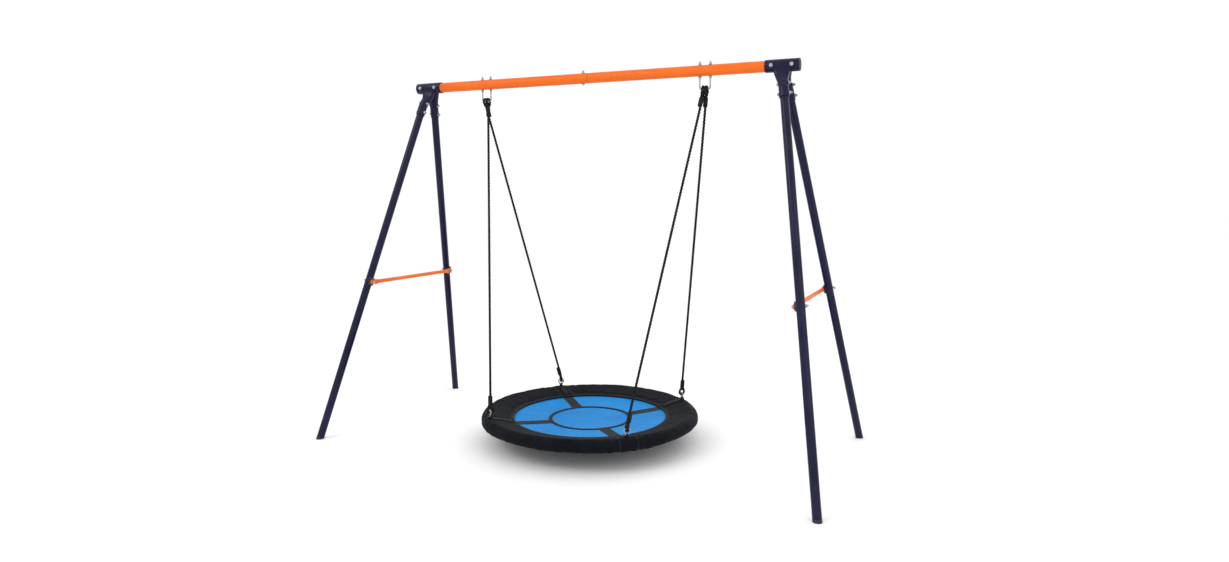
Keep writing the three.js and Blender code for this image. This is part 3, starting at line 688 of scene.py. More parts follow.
ORANGE = powder_coat("orange_coat", colour(244, 112, 20), colour(216, 92, 12), colour(250, 160, 96), 0.32)
NAVY = powder_coat("navy_coat", colour(18, 18, 58), colour(9, 9, 38), colour(58, 60, 100), 0.20)
ENAMEL = powder_coat("ring_enamel", colour(28, 28, 31), colour(17, 17, 19), colour(80, 80, 82), 0.4)
ZINC = zinc_plate()
PLASTIC = moulded_plastic()
ROPE = rope_fibre()
CLOTH = woven_cloth()
WEBBING = ribbed_webbing()
MAT = mat_tape()
THREAD = sewing_thread()

# ------------------------------------------------------------------ ropes

ROPE_LAY = 0.045
STRAND_RADIUS = 0.00302
STRAND_CENTRE = 0.00348
STRAND_VALLEY = 0.0036
SLEEVE_RADIUS = 0.0108
SLEEVE_LENGTH = 0.046
SLEEVE_TURNS = 22


def laid_outline(sides=30):
    """Three touching strands: the distance to the outside of the nearest one at each angle,
    its centre's share along the angle plus the rest of its round, kept above the valley's floor."""
    angle = np.arange(sides) * TAU / sides
    third = (angle + TAU / 6) % (TAU / 3) - TAU / 6
    inside = np.maximum(STRAND_RADIUS ** 2 - (STRAND_CENTRE * np.sin(third)) ** 2, 0)
    radius = np.maximum(STRAND_CENTRE * np.cos(third) + np.sqrt(inside), STRAND_VALLEY)
    return np.stack([np.cos(angle) * radius, np.sin(angle) * radius], -1)


def laid_rope(path, normal):
    """The three strands carried along a path, turning once in each lay length."""
    steps = np.linalg.norm(np.diff(path, axis=0), axis=1)
    distance = np.concatenate([[0], np.cumsum(steps)])
    return carried(path, laid_outline(), normal, twist=distance * TAU / ROPE_LAY)


def eye_path(centre, crown, throat_way, sideways, radius, throat, count=90):
    """A drop-shaped loop: across it w sin a sin(a/2), along it c - h cos a, for a from 0 to a full turn.
    It lies towards crown at its round end, and bends to throat_way where the rope leaves it."""
    a = np.linspace(0, TAU, count)
    w, h, c = radius / 0.77, radius + throat / 2, -throat / 2
    x, y = w * np.sin(a) * np.sin(a / 2), c - h * np.cos(a)
    lean = 1 - smooth(-radius * 1.5, radius, y)
    way = (1 - lean)[:, None] * crown - lean[:, None] * throat_way
    return centre + x[:, None] * sideways + y[:, None] * way


def whipped_sleeve(start, way):
    """Twine wound tight over the splice: a barrel with rounded ends and one groove for each turn."""
    s = np.linspace(0, 1, SLEEVE_TURNS * 8 + 1)
    ends = np.sqrt(np.clip(1 - (np.abs(2 * s - 1)) ** 10, 0, 1))
    radius = 0.0068 + (SLEEVE_RADIUS - 0.0068) * ends * (1 - 0.12 * s)
    radius = radius + 0.0003 * np.abs(np.sin(math.pi * SLEEVE_TURNS * s)) * ends
    path = start + s[:, None] * SLEEVE_LENGTH * way
    return carried(path, circle(1.0, 28), (1, 0.2, 0.1), scale=radius)


def attachment(end, side):
    """Where a rope meets the seat and its hanger, and the directions that its ring and loop follow."""
    half = math.sqrt(0.5)
    tangent = np.array([-side * half, end * half, 0])
    anchor = np.array([end * half * RING_RADIUS, side * half * RING_RADIUS, SEAT_HEIGHT])
    hook = np.array([end * HANGER_X + side * EYE_SHIFT * end, 0, BEAM_HEIGHT - HANGER_WIRE_DROP])
    pull = hook - anchor
    up = unit(pull - tangent * (pull @ tangent))
    across = np.cross(tangent, up)
    top_eye = hook - (0, 0, TOP_EYE_RADIUS - ROPE_RADIUS - BOLT_RADIUS - 0.0005)
    lower_eye = anchor + up * (PEAR_LIFT + PEAR_HALF_HEIGHT + 0.0025)
    return {
        "tangent": tangent, "anchor": anchor, "up": up, "across": across,
        "top_eye": top_eye, "lower_eye": lower_eye, "ring": anchor + up * PEAR_LIFT,
        "rope": (top_eye - (0, 0, TOP_EYE_RADIUS), lower_eye + up * LOWER_EYE_RADIUS),
    }


def make_rope(end_name, side_name, end, side):
    """A laid rope from its top eye to its lower eye, with a whipped sleeve over each splice."""
    label = f"{end_name}_{side_name}"
    link = attachment(end, side)
    start, finish = link["rope"]
    length = np.linalg.norm(finish - start)
    way = (finish - start) / length
    path = start + np.linspace(0, length, int(length / 0.0021))[:, None] * way
    rope = make_piece(f"laid_rope_{label}", [laid_rope(path, (1, 0, 0))], ROPE, "swing",
                      f"rope_{label}", sharp=180)
    top = eye_path(link["top_eye"], np.array([0, 0, 1.0]), way, np.array([0, 1.0, 0]), TOP_EYE_RADIUS, 0.020)
    low = eye_path(link["lower_eye"], -link["up"], -way, link["across"], LOWER_EYE_RADIUS, 0.018)
    eyes = [
        make_piece(f"top_eye_{label}", [laid_rope(top, (1, 0, 0))], ROPE, "swing", (), 180),
        make_piece(f"lower_eye_{label}", [laid_rope(low, link["tangent"])], ROPE, "swing", (),
                   180),
    ]
    sleeves = [
        make_piece(f"top_sleeve_{label}", [whipped_sleeve(link["top_eye"] + way * 0.031, way)],
                   ROPE, "swing", (), 180),
        make_piece(f"lower_sleeve_{label}", [whipped_sleeve(link["lower_eye"] - way * 0.025, -way)],
                   ROPE, "swing", (), 180),
    ]


for corner in CORNERS:
    make_rope(*corner)

# ------------------------------------------------------------------ bolts and nuts

THREAD_PITCH = 0.00125
THREAD_DEPTH = 0.00035


def hex_radius(angle):
    """The distance to a hexagon's flat at each angle."""
    third = (angle + TAU / 12) % (TAU / 6) - TAU / 12
    return HEX_FLATS / 2 / np.cos(third)


def hexagon(start, end, chamfer_start, chamfer_end):
    """A hexagon prism along X from start to end. A cone trims its corners at each chamfered end."""
    angle = np.arange(48) * TAU / 48
    hexed = hex_radius(angle)
    reach = HEX_FLATS / 2 / math.cos(TAU / 12)
    trims = []
    for s in (0.0, 0.3, 0.6, 0.9, 1.2):
        trims.append((s * MM, HEX_FLATS / 2 * 0.93 + s * MM * (reach - HEX_FLATS / 2 * 0.93) / 0.0012))
    way = 1 if end > start else -1
    first = [(start + way * s, limit if chamfer_start else 9.0) for s, limit in trims]
    last = [(end - way * s, limit if chamfer_end else 9.0) for s, limit in reversed(trims)]
    rings = []
    for x, limit in first + last:
        radius = np.minimum(hexed, limit)
        rings.append(np.stack([np.full(48, x), np.cos(angle) * radius, np.sin(angle) * radius], -1))
    return skin(np.array(rings))


def disc(start, end, radius, bore=BOLT_RADIUS, sides=40):
    """A washer along X with softened edges."""
    x0, x1 = min(start, end), max(start, end)
    profile = rounded_outline([(bore, x0), (radius, x0), (radius, x1), (bore, x1)], 0.0004)
    verts, faces = turned(profile, sides)
    return verts[:, [2, 0, 1]], faces


def screw_end(start, end):
    """A threaded end along X: round, with a V groove that winds on by one pitch for each turn,
    fading out over the chamfer at the tip."""
    length = abs(end - start)
    s = np.linspace(0, length, int(length / THREAD_PITCH * 10) + 1)[:, None]
    angle = (np.arange(24) * TAU / 24)[None, :]
    phase = (s / THREAD_PITCH - angle / TAU) % 1
    fade = smooth(0, THREAD_PITCH, length - s)
    radius = BOLT_RADIUS - THREAD_DEPTH * (1 - np.abs(2 * phase - 1)) * fade - 0.0007 * (1 - fade)
    x = start + s * math.copysign(1, end - start) + 0 * angle
    return skin(np.stack([x, radius * np.cos(angle), radius * np.sin(angle)], -1))


def plain_shank(start, end):
    """A round bar along X."""
    angle = np.arange(24) * TAU / 24
    rings = [np.stack([np.full(24, x), BOLT_RADIUS * np.cos(angle), BOLT_RADIUS * np.sin(angle)], -1)
             for x in (start, end)]
    return skin(np.array(rings))


def hex_bolt(head_face, nut_face):
    """A bolt along +X: its head bears at head_face and its nut at nut_face, each on a washer."""
    head = head_face - WASHER_THICKNESS
    nut = nut_face + WASHER_THICKNESS
    return [
        hexagon(head - HEAD_HEIGHT, head, True, False),
        disc(head, head_face, WASHER_RADIUS),
        plain_shank(head - 0.001, nut + NUT_HEIGHT - 0.001),
        disc(nut_face, nut, WASHER_RADIUS),
        hexagon(nut, nut + NUT_HEIGHT, True, True),
        screw_end(nut + NUT_HEIGHT - 0.0015, nut + NUT_HEIGHT + THREAD_END),
    ]


def make_bolt(node, head_face, nut_face, matrix):
    """A bright bolt with its washers and nut, placed by matrix."""
    parts = [placed(part, matrix) for part in hex_bolt(head_face, nut_face)]
    make_piece(f"bright_{node}", parts, ZINC, "stand", node, sharp=28)


X, Y, Z = np.eye(3)
bearing = BEAM_RADIUS + GAP
make_bolt("beam_joint_bolt", -bearing, bearing, basis(Z, Y, -X, (JOINT_BOLT_X, 0, BEAM_HEIGHT)))

for end_name, end in ENDS.items():
    bearing = SHELL_RADIUS + BOSS_THICKNESS + GAP
    for shift, which in ((-1, "minus_x"), (1, "plus_x")):
        place = basis(Y, -X, Z, (end * BRACKET_X + shift * HEAD_BOLT_X, 0, BEAM_HEIGHT))
        make_bolt(f"head_bolt_{end_name}_{which}", -bearing, bearing, place)

for end_name, side_name, end, side in CORNERS:
    leg = leg_matrix(end, side)
    label = f"{end_name}_{side_name}"
    bearing = SOCKET_RADIUS + GAP
    for which, distance in SOCKET_BOLTS.items():
        make_bolt(f"socket_bolt_{label}_{which}", -bearing, bearing, shifted(leg, (0, 0, -distance)))
    head_face = LEG_RADIUS + 3 * GAP + SADDLE_THICKNESS + 2 * BRACE_FLAT[0] + 0.0005
    place = shifted(leg, (0, 0, -BRACE_DISTANCE))
    place[:3, :2] *= end
    make_bolt(f"brace_bolt_{label}", -head_face, LEG_RADIUS + GAP, place)

# ------------------------------------------------------------------ hangers

HANGER_TOP = BEAM_RADIUS + WASHER_THICKNESS + NUT_HEIGHT + 0.009


def hanger_parts():
    """A bar bent into a square U, with its threaded ends up through the beam.
    Its path is two straight legs and a bottom, joined by quarter circles."""
    quarter = np.linspace(0, math.pi / 2, 10)
    r, half, low = HANGER_CORNER, HANGER_HALF, -HANGER_WIRE_DROP
    left = np.stack([-half + r - r * np.cos(quarter), 0 * quarter, low + r - r * np.sin(quarter)], -1)
    right = np.stack([half - r + r * np.sin(quarter), 0 * quarter, low + r - r * np.cos(quarter)], -1)
    path = np.concatenate([[(-half, 0, -BEAM_RADIUS * 0.4)], left, right, [(half, 0, -BEAM_RADIUS * 0.4)]])
    parts = [carried(path, circle(BOLT_RADIUS), Y)]
    for x in (-half, half):
        turn_up = basis(Z, Y, -X, (x, 0, 0))
        nut = BEAM_RADIUS + GAP + WASHER_THICKNESS
        for face in (1, -1):
            flip = turn_up @ np.diag([face, 1.0, face, 1.0])
            parts.append(placed(disc(BEAM_RADIUS + GAP, nut, WASHER_RADIUS), flip))
            parts.append(placed(hexagon(nut, nut + NUT_HEIGHT, True, True), flip))
        parts.append(placed(screw_end(-BEAM_RADIUS * 0.4, HANGER_TOP), turn_up))
        down = turn_up @ np.diag([-1.0, 1.0, -1.0, 1.0])
        parts.append(placed(screw_end(nut, nut + NUT_HEIGHT + 0.008), down @ np.diag([1, 1.04, 1.04, 1.0])))
    return parts


for end_name, end in ENDS.items():
    place = basis(X, Y, Z, (end * HANGER_X, 0, BEAM_HEIGHT))
    make_piece(f"bright_hanger_{end_name}", [placed(p, place) for p in hanger_parts()],
               ZINC, "stand", f"hanger_bolt_{end_name}", sharp=28)

# ------------------------------------------------------------------ beam



def tube(profile, matrix, sides=72):
    """The closed profile of (radius, distance) pairs turned round the frame's Z."""
    return placed(turned(profile, sides), matrix)


def beam_half(end):
    """A tube from the seam to its tip. The right one is drawn down to slide inside the left one."""
    inner = BEAM_RADIUS - BEAM_WALL
    seam = 0.0006
    if end < 0:
        outline = [(inner, seam), (BEAM_RADIUS, seam), (BEAM_RADIUS, BEAM_TIP), (inner, BEAM_TIP)]
    else:
        slim = inner - 0.0005
        outline = [(BEAM_RADIUS, seam), (BEAM_RADIUS, BEAM_TIP), (inner, BEAM_TIP), (inner, 0.012),
                   (slim - BEAM_WALL, SWAGE), (slim - BEAM_WALL, -0.09), (slim, -0.09), (slim, seam)]
    return rounded_outline(np.array(outline), 0.0009)


def along_x(end):
    """A frame whose Z runs along the beam towards one end."""
    return basis(Y * end, Z, X * end, (0, 0, BEAM_HEIGHT))


for end_name, end in ENDS.items():
    make_piece(f"painted_beam_{end_name}", [tube(beam_half(end), along_x(end))],
               ORANGE, "stand", f"beam_{end_name}", sharp=50)
    inner = BEAM_RADIUS - BEAM_WALL
    plug = rounded_outline([(0.0001, BEAM_TIP - 0.02), (inner - 0.0004, BEAM_TIP - 0.02),
                            (inner - 0.0004, BEAM_TIP + GAP), (BEAM_RADIUS, BEAM_TIP + GAP),
                            (BEAM_RADIUS, BEAM_TIP + 0.003), (BEAM_RADIUS * 0.7, BEAM_TIP + 0.0055),
                            (0.0001, BEAM_TIP + 0.006)], 0.0015, steps=5)
    make_piece(f"beam_plug_{end_name}", [tube(plug, along_x(end))], PLASTIC, "stand", ())

# ------------------------------------------------------------------ connectors


def half_shell(side):
    """A curved plate round one side of the beam: a rounded strip section swept through nearly half a turn."""
    low, high = SHELL_RADIUS - SHELL_WALL, SHELL_RADIUS
    strip = rounded_outline([(low, -HEAD_HALF_LENGTH), (high, -HEAD_HALF_LENGTH),
                             (high, HEAD_HALF_LENGTH), (low, HEAD_HALF_LENGTH)], 0.0014)
    verts, faces = turned(strip, 48, start=math.radians(-88), sweep=math.radians(176))
    return np.stack([verts[:, 2], verts[:, 0] * side, verts[:, 1]], -1), faces


def neck(leg, side):
    """A pressed neck: its section runs from a wide rounded box under the shell to the round socket,
    while its middle runs from the shell's belly to the leg's axis."""
    t = np.linspace(0, 1, 40)
    ease = smooth(0, 0.72, t)
    flare = smooth(0, 0.62, t) ** 0.8
    distance = t * SOCKET_BOTTOM
    head = np.array([0, side * 0.0145, -0.006])
    axis = leg[:3, :3] @ np.array([0, 0, -1.0])
    start = np.array([0, side * LEG_OFFSET, 0])
    line = start + axis * distance[:, None]
    centre = line * ease[:, None] + (head + np.array([0, 0, -1.0]) * distance[:, None]) * (1 - ease[:, None])
    half_x = 0.040 + (SOCKET_RADIUS - 0.040) * flare
    half_y = 0.0132 + (SOCKET_RADIUS - 0.0132) * ease
    power = 5 - 3 * ease
    rings = []
    for i, (hx, hy, p) in enumerate(zip(half_x, half_y, power)):
        z_way = unit(axis * ease[i] + np.array([0, 0, -1.0]) * (1 - ease[i]))
        x_way = unit(X - z_way * z_way[0])
        section = oval(hx, hy, p, 56)
        rings.append(centre[i] + section[:, :1] * x_way + section[:, 1:] * np.cross(z_way, x_way))
    lip = []
    for inset, back in ((0.0004, 0.0004), (0.0026, 0.0), (0.0029, -0.002), (0.0029, -0.03)):
        section = oval(SOCKET_RADIUS - inset, SOCKET_RADIUS - inset, 2, 56)
        x_way = unit(X - axis * axis[0])
        lip.append(start + axis * (SOCKET_BOTTOM + back) + section[:, :1] * x_way
                   + section[:, 1:] * np.cross(axis, x_way))
    return skin(np.array(rings + lip))


def boss(x, side):
    """A raised square pad under a bolt: a rounded box that narrows a little to its face."""
    rings = []
    for depth, grow in ((-0.006, 0.0), (0.0, 0.0), (BOSS_THICKNESS - 0.0008, -0.0003),
                        (BOSS_THICKNESS, -0.0012)):
        section = oval(BOSS_SIZE / 2 + grow, BOSS_SIZE / 2 + grow, 7, 48)
        y = side * (SHELL_RADIUS + depth)
        rings.append(np.stack([x + section[:, 0], np.full(48, y), section[:, 1]], -1))
    return skin(np.array(rings))


def socket_seat(side, end):
    """A low round land on each side of the socket where a bolt bears."""
    parts = []
    for distance in SOCKET_BOLTS.values():
        for way in (-1, 1):
            profile = rounded_outline([(0.0001, 0.012), (0.0098, 0.012), (0.0092, SOCKET_RADIUS + 0.0002),
                                       (0.0001, SOCKET_RADIUS + 0.0002)], 0.0006)
            facing = basis(Y, Z * way, X * way, (0, 0, -distance))
            parts.append(placed(turned(profile, 32), leg_matrix(end, side) @ facing))
    return parts


for end_name, side_name, end, side in CORNERS:
    label = f"{end_name}_{side_name}"
    leg = leg_matrix(end, side)
    local = leg.copy()
    local[:3, 3] = 0
    place = basis(X, Y, Z, (end * BRACKET_X, 0, BEAM_HEIGHT))
    parts = [half_shell(side), neck(local, side)] + [boss(x, side) for x in (-HEAD_BOLT_X, HEAD_BOLT_X)]
    parts = [placed(p, place) for p in parts] + socket_seat(side, end)
    make_piece(f"pressed_connector_{label}", parts, NAVY, "stand", f"connector_{label}",
               sharp=50)

# ------------------------------------------------------------------ legs, foot caps


def upper_leg():
    inner = LEG_RADIUS - LEG_WALL
    top, bottom = -NECK_BOTTOM - GAP, -LEG_SEAM
    return rounded_outline([(inner, bottom), (LEG_RADIUS, bottom), (LEG_RADIUS, top), (inner, top)], 0.0007)


def tube_end(leg):
    """How far down the leg the tube stops, so that its lowest edge clears the cap's floor."""
    lean = math.sqrt(1 - leg[2, 2] ** 2)
    return (BEAM_HEIGHT - 0.0025 - LEG_RADIUS * lean) / leg[2, 2]


def lower_leg(leg):
    """The lower tube, swaged down over a short cone to the spigot inside the upper one."""
    shoulder, bottom = -LEG_SEAM - 0.0006, -tube_end(leg)
    slim = LEG_RADIUS - LEG_WALL - 0.0005
    inner = LEG_RADIUS - LEG_WALL
    return rounded_outline([
        (inner, bottom), (LEG_RADIUS, bottom), (LEG_RADIUS, shoulder - 0.0022),
        (LEG_RADIUS - 0.0008, shoulder),
        (slim, shoulder), (slim, shoulder + 0.08), (slim - LEG_WALL, shoulder + 0.08),
        (slim - LEG_WALL, shoulder - SWAGE), (inner, shoulder - 2 * SWAGE)], 0.0006)


def foot_cap(leg):
    """A plug in the tube and a flange whose side lines run down the leg until they meet the ground."""
    angle = np.arange(48) * TAU / 48
    ring = np.stack([np.cos(angle), np.sin(angle), 0 * angle], -1)
    end = -tube_end(leg)
    rings = []
    for radius, z in ((LEG_RADIUS - LEG_WALL - 0.001, end + 0.03),
                      (LEG_RADIUS - LEG_WALL - 0.0005, end + 0.028),
                      (LEG_RADIUS - LEG_WALL - 0.0005, end - GAP), (LEG_RADIUS - 0.0006, end - GAP),
                      (LEG_RADIUS, end - GAP - 0.0006)):
        rings.append((ring * radius + (0, 0, z)) @ leg[:3, :3].T + leg[:3, 3])
    down = -leg[:3, 2]
    for radius, lift in ((LEG_RADIUS, 0.0009), (LEG_RADIUS - 0.0009, 0.0)):
        side_line = (ring * radius) @ leg[:3, :3].T + leg[:3, 3]
        reach = (lift - side_line[:, 2]) / down[2]
        rings.append(side_line + reach[:, None] * down)
    return skin(np.array(rings))


for end_name, side_name, end, side in CORNERS:
    label = f"{end_name}_{side_name}"
    leg = leg_matrix(end, side)
    make_piece(f"painted_upper_leg_{label}", [tube(upper_leg(), leg, 56)],
               NAVY, "stand", f"upper_leg_{label}", sharp=50)
    make_piece(f"painted_lower_leg_{label}", [tube(lower_leg(leg), leg, 56)],
               NAVY, "stand", f"lower_leg_{label}", sharp=50)
    make_piece(f"moulded_foot_cap_{label}", [foot_cap(leg)], PLASTIC, "stand", f"foot_cap_{label}",
               sharp=50)

# ------------------------------------------------------------------ braces and saddles


def brace_part(end):
    """A round tube pressed flat at both ends. From each tip its half width follows the round tip,
    stays flat, then closes to the tube's radius while its thickness opens."""
    matrix, span = brace_matrix(end)
    half = span / 2 + BRACE_FLAT[1]
    tip = np.concatenate([BRACE_FLAT[1] * (1 - np.cos(np.linspace(0.12, math.pi / 2, 14))),
                          np.linspace(BRACE_FLAT[1] + 0.002, BRACE_FLAT_LENGTH, 5),
                          BRACE_FLAT_LENGTH + BRACE_TAPER_LENGTH * np.linspace(0.08, 1.2, 16)])
    from_tip = np.concatenate([tip, tip[::-1]])
    y = np.concatenate([tip - half, half - tip[::-1]])
    t = smooth(0, 1, (from_tip - BRACE_FLAT_LENGTH) / BRACE_TAPER_LENGTH)
    thick = BRACE_FLAT[0] + (BRACE_RADIUS - BRACE_FLAT[0]) * t
    wide = BRACE_FLAT[1] + (BRACE_RADIUS - BRACE_FLAT[1]) * t
    inside = np.clip(BRACE_FLAT[1] - from_tip, 0, None)
    wide = np.minimum(wide, np.sqrt(np.maximum(BRACE_FLAT[1] ** 2 - inside ** 2, 1e-8)))
    rings = []
    for yy, a, b, share in zip(y, thick, wide, t):
        section = oval(a, b, 6 - 4 * share, 48)
        rings.append(np.stack([section[:, 0], np.full(48, yy), section[:, 1]], -1))
    return placed(skin(np.array(rings)), matrix)


def saddle_part(end, side):
    """A spacer block: round the leg on one face, flat to the brace on the other."""
    leg = leg_matrix(end, side)
    brace, _ = brace_matrix(end)
    inner = LEG_RADIUS + GAP
    outer = inner + SADDLE_THICKNESS
    angle = np.linspace(-1, 1, 17) * math.asin(SADDLE_HALF_WIDTH / inner)
    hollow = np.stack([inner * np.cos(angle), inner * np.sin(angle)], -1)
    flat = np.array([(outer, SADDLE_HALF_WIDTH), (outer, -SADDLE_HALF_WIDTH)])
    back = rounded_outline(np.concatenate([flat, hollow[:1], hollow[-1:]]), 0.001)[:8]
    outline = np.concatenate([hollow, back])
    rings = []
    for z, pull in ((-1.0, 0.0012), (-0.96, 0.0003), (-0.9, 0), (0.9, 0), (0.96, 0.0003), (1.0, 0.0012)):
        x = np.where(outline[:, 0] > inner, outline[:, 0] - pull, outline[:, 0])
        y = outline[:, 1] * (1 - pull / SADDLE_HALF_WIDTH)
        rings.append(np.stack([-end * x, y, np.full(len(x), z * SADDLE_HALF_HEIGHT - BRACE_DISTANCE)], -1))
    verts, faces = placed(skin(np.array(rings)), leg)
    way = brace[:3, 0] * -end
    over = (verts - brace[:3, 3]) @ way + BRACE_FLAT[0] + GAP
    return verts - np.maximum(over, 0)[:, None] * way, faces


for end_name, end in ENDS.items():
    make_piece(f"painted_brace_{end_name}", [brace_part(end)], ORANGE, "stand", f"brace_{end_name}",
               sharp=60)
for end_name, side_name, end, side in CORNERS:
    make_piece(f"moulded_saddle_{end_name}_{side_name}", [saddle_part(end, side)], PLASTIC, "stand",
               f"brace_saddle_{end_name}_{side_name}", sharp=45)

# ------------------------------------------------------------------ pear rings and webbing loops

PEAR_OUTLINE = [(0.36, -0.84), (0.66, -0.36), (0.92, 0.18), (0.96, 0.6), (0.7, 0.93), (0.3, 1.0)]
LOOP_THICKNESS = 0.0022
LOOP_STEEL_RADIUS = 0.0161
LOOP_RING_RADIUS = 0.0066


def pear_ring(link):
    """Round wire bent into a pear: wide where the rope's eye hangs, narrow at the webbing."""
    half = np.array(PEAR_OUTLINE)
    outline = np.concatenate([[(0, -1)], half, half[::-1] * (-1, 1)]) * (PEAR_HALF_WIDTH, PEAR_HALF_HEIGHT)
    curve = closed_curve(outline, 96)
    path = link["ring"] + curve[:, :1] * link["tangent"] + curve[:, 1:] * link["up"]
    return carried(path, circle(PEAR_WIRE, 18), link["across"], closed=True)


def webbing_loop(link):
    """A band round the steel ring and the pear ring: two arcs joined by straight runs,
    a little narrower where the pear ring gathers it."""
    far = PEAR_LIFT - PEAR_HALF_HEIGHT
    lean = math.asin((LOOP_STEEL_RADIUS - LOOP_RING_RADIUS) / far)
    low = np.linspace(math.pi - lean, TAU + lean, 40)
    high = np.linspace(lean, math.pi - lean, 24)
    lower = np.stack([np.cos(low), np.sin(low)], -1) * LOOP_STEEL_RADIUS
    upper = np.stack([np.cos(high), np.sin(high)], -1) * LOOP_RING_RADIUS + (0, far)
    share = np.linspace(0, 1, 12)[1:-1, None]
    rise = lower[-1] * (1 - share) + upper[0] * share
    fall = upper[-1] * (1 - share) + lower[0] * share
    curve = np.concatenate([lower, rise, upper, fall])
    path = link["anchor"] + curve[:, :1] * -link["across"] + curve[:, 1:] * link["up"]
    width = LOOP_WIDTH * (1 - 0.14 * smooth(0.5, 1.0, curve[:, 1] / far))
    section = oval(0.5, LOOP_THICKNESS / 2, 5, 28)
    outline = section[None] * np.stack([width, np.ones_like(width)], -1)[:, None]
    return carried(path, outline, link["tangent"], closed=True, across=0.03)


for end_name, side_name, end, side in CORNERS:
    label = f"{end_name}_{side_name}"
    link = attachment(end, side)
    make_piece(f"bright_pear_ring_{label}", [pear_ring(link)], ZINC, "swing",
               f"pear_ring_{label}", sharp=180)
    make_piece(f"sewn_loop_{label}", [webbing_loop(link)], WEBBING, "swing",
               f"webbing_loop_{label}", sharp=50)

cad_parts["seat_ring"].data.materials.clear()
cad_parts["seat_ring"].data.materials.append(ENAMEL)

# ------------------------------------------------------------------ mat

ROPE_ANGLES = np.radians([-45, 45, 135, 225])
WEB = 0.0018


def mat_top(x, y):
    """The mat's upper face: a shallow bowl, flat under the cover, that sags a little more between the straps
    and draws into small radial gathers near its edge."""
    r, angle = np.hypot(x, y), np.arctan2(y, x)
    share = np.clip(r / FLAP_RADIUS, 0, 1)
    bowl = -FLAP_HALF - GAP - MAT_DISH * (1 - share ** 2)
    between = np.cos(2 * angle) ** 2
    sag = -0.0022 * between * share * (1 - share ** 3)
    pull = np.sin(23 * angle + 2.0 * np.sin(3 * angle)) + 0.6 * np.sin(37 * angle + 1.3)
    gathers = 0.0007 * pull * between * smooth(0.55, 0.95, share) * (1 - smooth(0.97, 1.0, share))
    slack = 0.0008 * np.sin(19 * x + 7 * y + 1.0) * np.sin(11 * x - 16 * y + 0.4) * (1 - share)
    return SEAT_HEIGHT + bowl + sag + gathers + slack


def spun(profile, sides, height=None):
    """A solid round Z from an open run of (radius, height) pairs, closed with a small flat face at each end.
    height, if given, is a function of x and y that is added."""
    angle = np.arange(sides) * TAU / sides
    r, z = np.array(profile, float).T
    x, y = r[:, None] * np.cos(angle), r[:, None] * np.sin(angle)
    lift = z[:, None] + 0 * x
    return skin(np.stack([x, y, lift if height is None else lift + height(x, y)], -1))


def make_mat():
    """The mat as one thin dish: its upper face, its edge and its lower face, all on the same bowl."""
    radii = np.concatenate([[0.0008], np.linspace(0.006, 0.37, 62), np.linspace(0.376, MAT_EDGE - 0.001, 12)])
    upper = [(r, 0.0) for r in radii]
    rim = [(MAT_EDGE, -MAT_THICKNESS / 2)]
    lower = [(r, -MAT_THICKNESS) for r in radii[::-1]]
    return make_piece("woven_mat", [spun(upper + rim + lower, 288, mat_top)], MAT, "swing",
                      "mat", sharp=60)


def strap_rows(angle, offsets, start, end, count):
    """Points along a strap's length at each offset across it, lying on the mat."""
    along = np.linspace(start, end, count)[:, None]
    across = np.asarray(offsets, float)[None, :]
    x = along * math.cos(angle) - across * math.sin(angle)
    y = along * math.sin(angle) + across * math.cos(angle)
    return np.stack([x, y, mat_top(x, y) + WEB + GAP], -1)


STRAP_START = CENTRE_RING_RADIUS + 0.002
STRAP_END = FLAP_RADIUS + 0.008


def mat_straps():
    """Four flat bands of webbing laid from the centre ring to the cover."""
    across = np.linspace(-1, 1, 15) * STRAP_HALF_WIDTH
    return [panel(strap_rows(angle, across, STRAP_START, STRAP_END, 60), WEB, across=0.11)
            for angle in ROPE_ANGLES]


def centre_ring():
    """A folded tape sewn in a circle: a flat oval section carried round on the mat."""
    angle = np.arange(300) * TAU / 300
    x, y = CENTRE_RING_RADIUS * np.cos(angle), CENTRE_RING_RADIUS * np.sin(angle)
    path = np.stack([x, y, mat_top(x, y) + 0.0016], -1)
    return carried(path, oval(0.0018, CENTRE_RING_WIDTH / 2, 4, 24), Z, closed=True, across=0.04)


# ------------------------------------------------------------------ stitches


def spaced(path, pitch):
    """Points every pitch along a path, with the path's direction there."""
    path = np.asarray(path, float)
    step = np.linalg.norm(np.diff(path, axis=0), axis=1)
    distance = np.concatenate([[0], np.cumsum(step)])
    at_distance = np.arange(pitch / 2, distance[-1] - pitch / 4, pitch)
    points = np.stack([np.interp(at_distance, distance, path[:, a]) for a in range(3)], -1)
    ahead = np.stack([np.interp(at_distance + pitch / 4, distance, path[:, a]) for a in range(3)], -1)
    way = ahead - points
    return points, way / np.linalg.norm(way, axis=1, keepdims=True)


def stitch_row(path, out, pitch=0.006, length=0.0042, radius=0.0005):
    """A row of short threads: a six-sided bar with narrowed ends, copied to each place along the path."""
    points, way = spaced(path, pitch)
    side = np.cross(way, out)
    side /= np.linalg.norm(side, axis=1, keepdims=True)
    top = np.cross(side, way)
    angle = np.arange(6) * TAU / 6
    x = np.repeat([-0.5, -0.36, 0.36, 0.5], 6) * length
    size = np.repeat([0.45, 1.0, 1.0, 0.45], 6) * radius
    y, z = np.tile(np.cos(angle), 4) * size, np.tile(np.sin(angle), 4) * size - np.abs(x) * 0.12
    verts = points[:, None] + x[:, None] * way[:, None] + y[:, None] * side[:, None]
    verts = verts + z[:, None] * top[:, None]
    _, faces = skin(np.zeros((4, 6, 3)))
    count = len(points)
    copies = []
    for polygons, uv in faces:
        shifted_faces = polygons[None] + np.arange(count)[:, None, None] * 24
        copies.append((shifted_faces.reshape(-1, polygons.shape[1]), np.tile(uv, (count, 1, 1))))
    return verts.reshape(-1, 3), copies


BOX_START = 0.318
BOX_END = 0.368


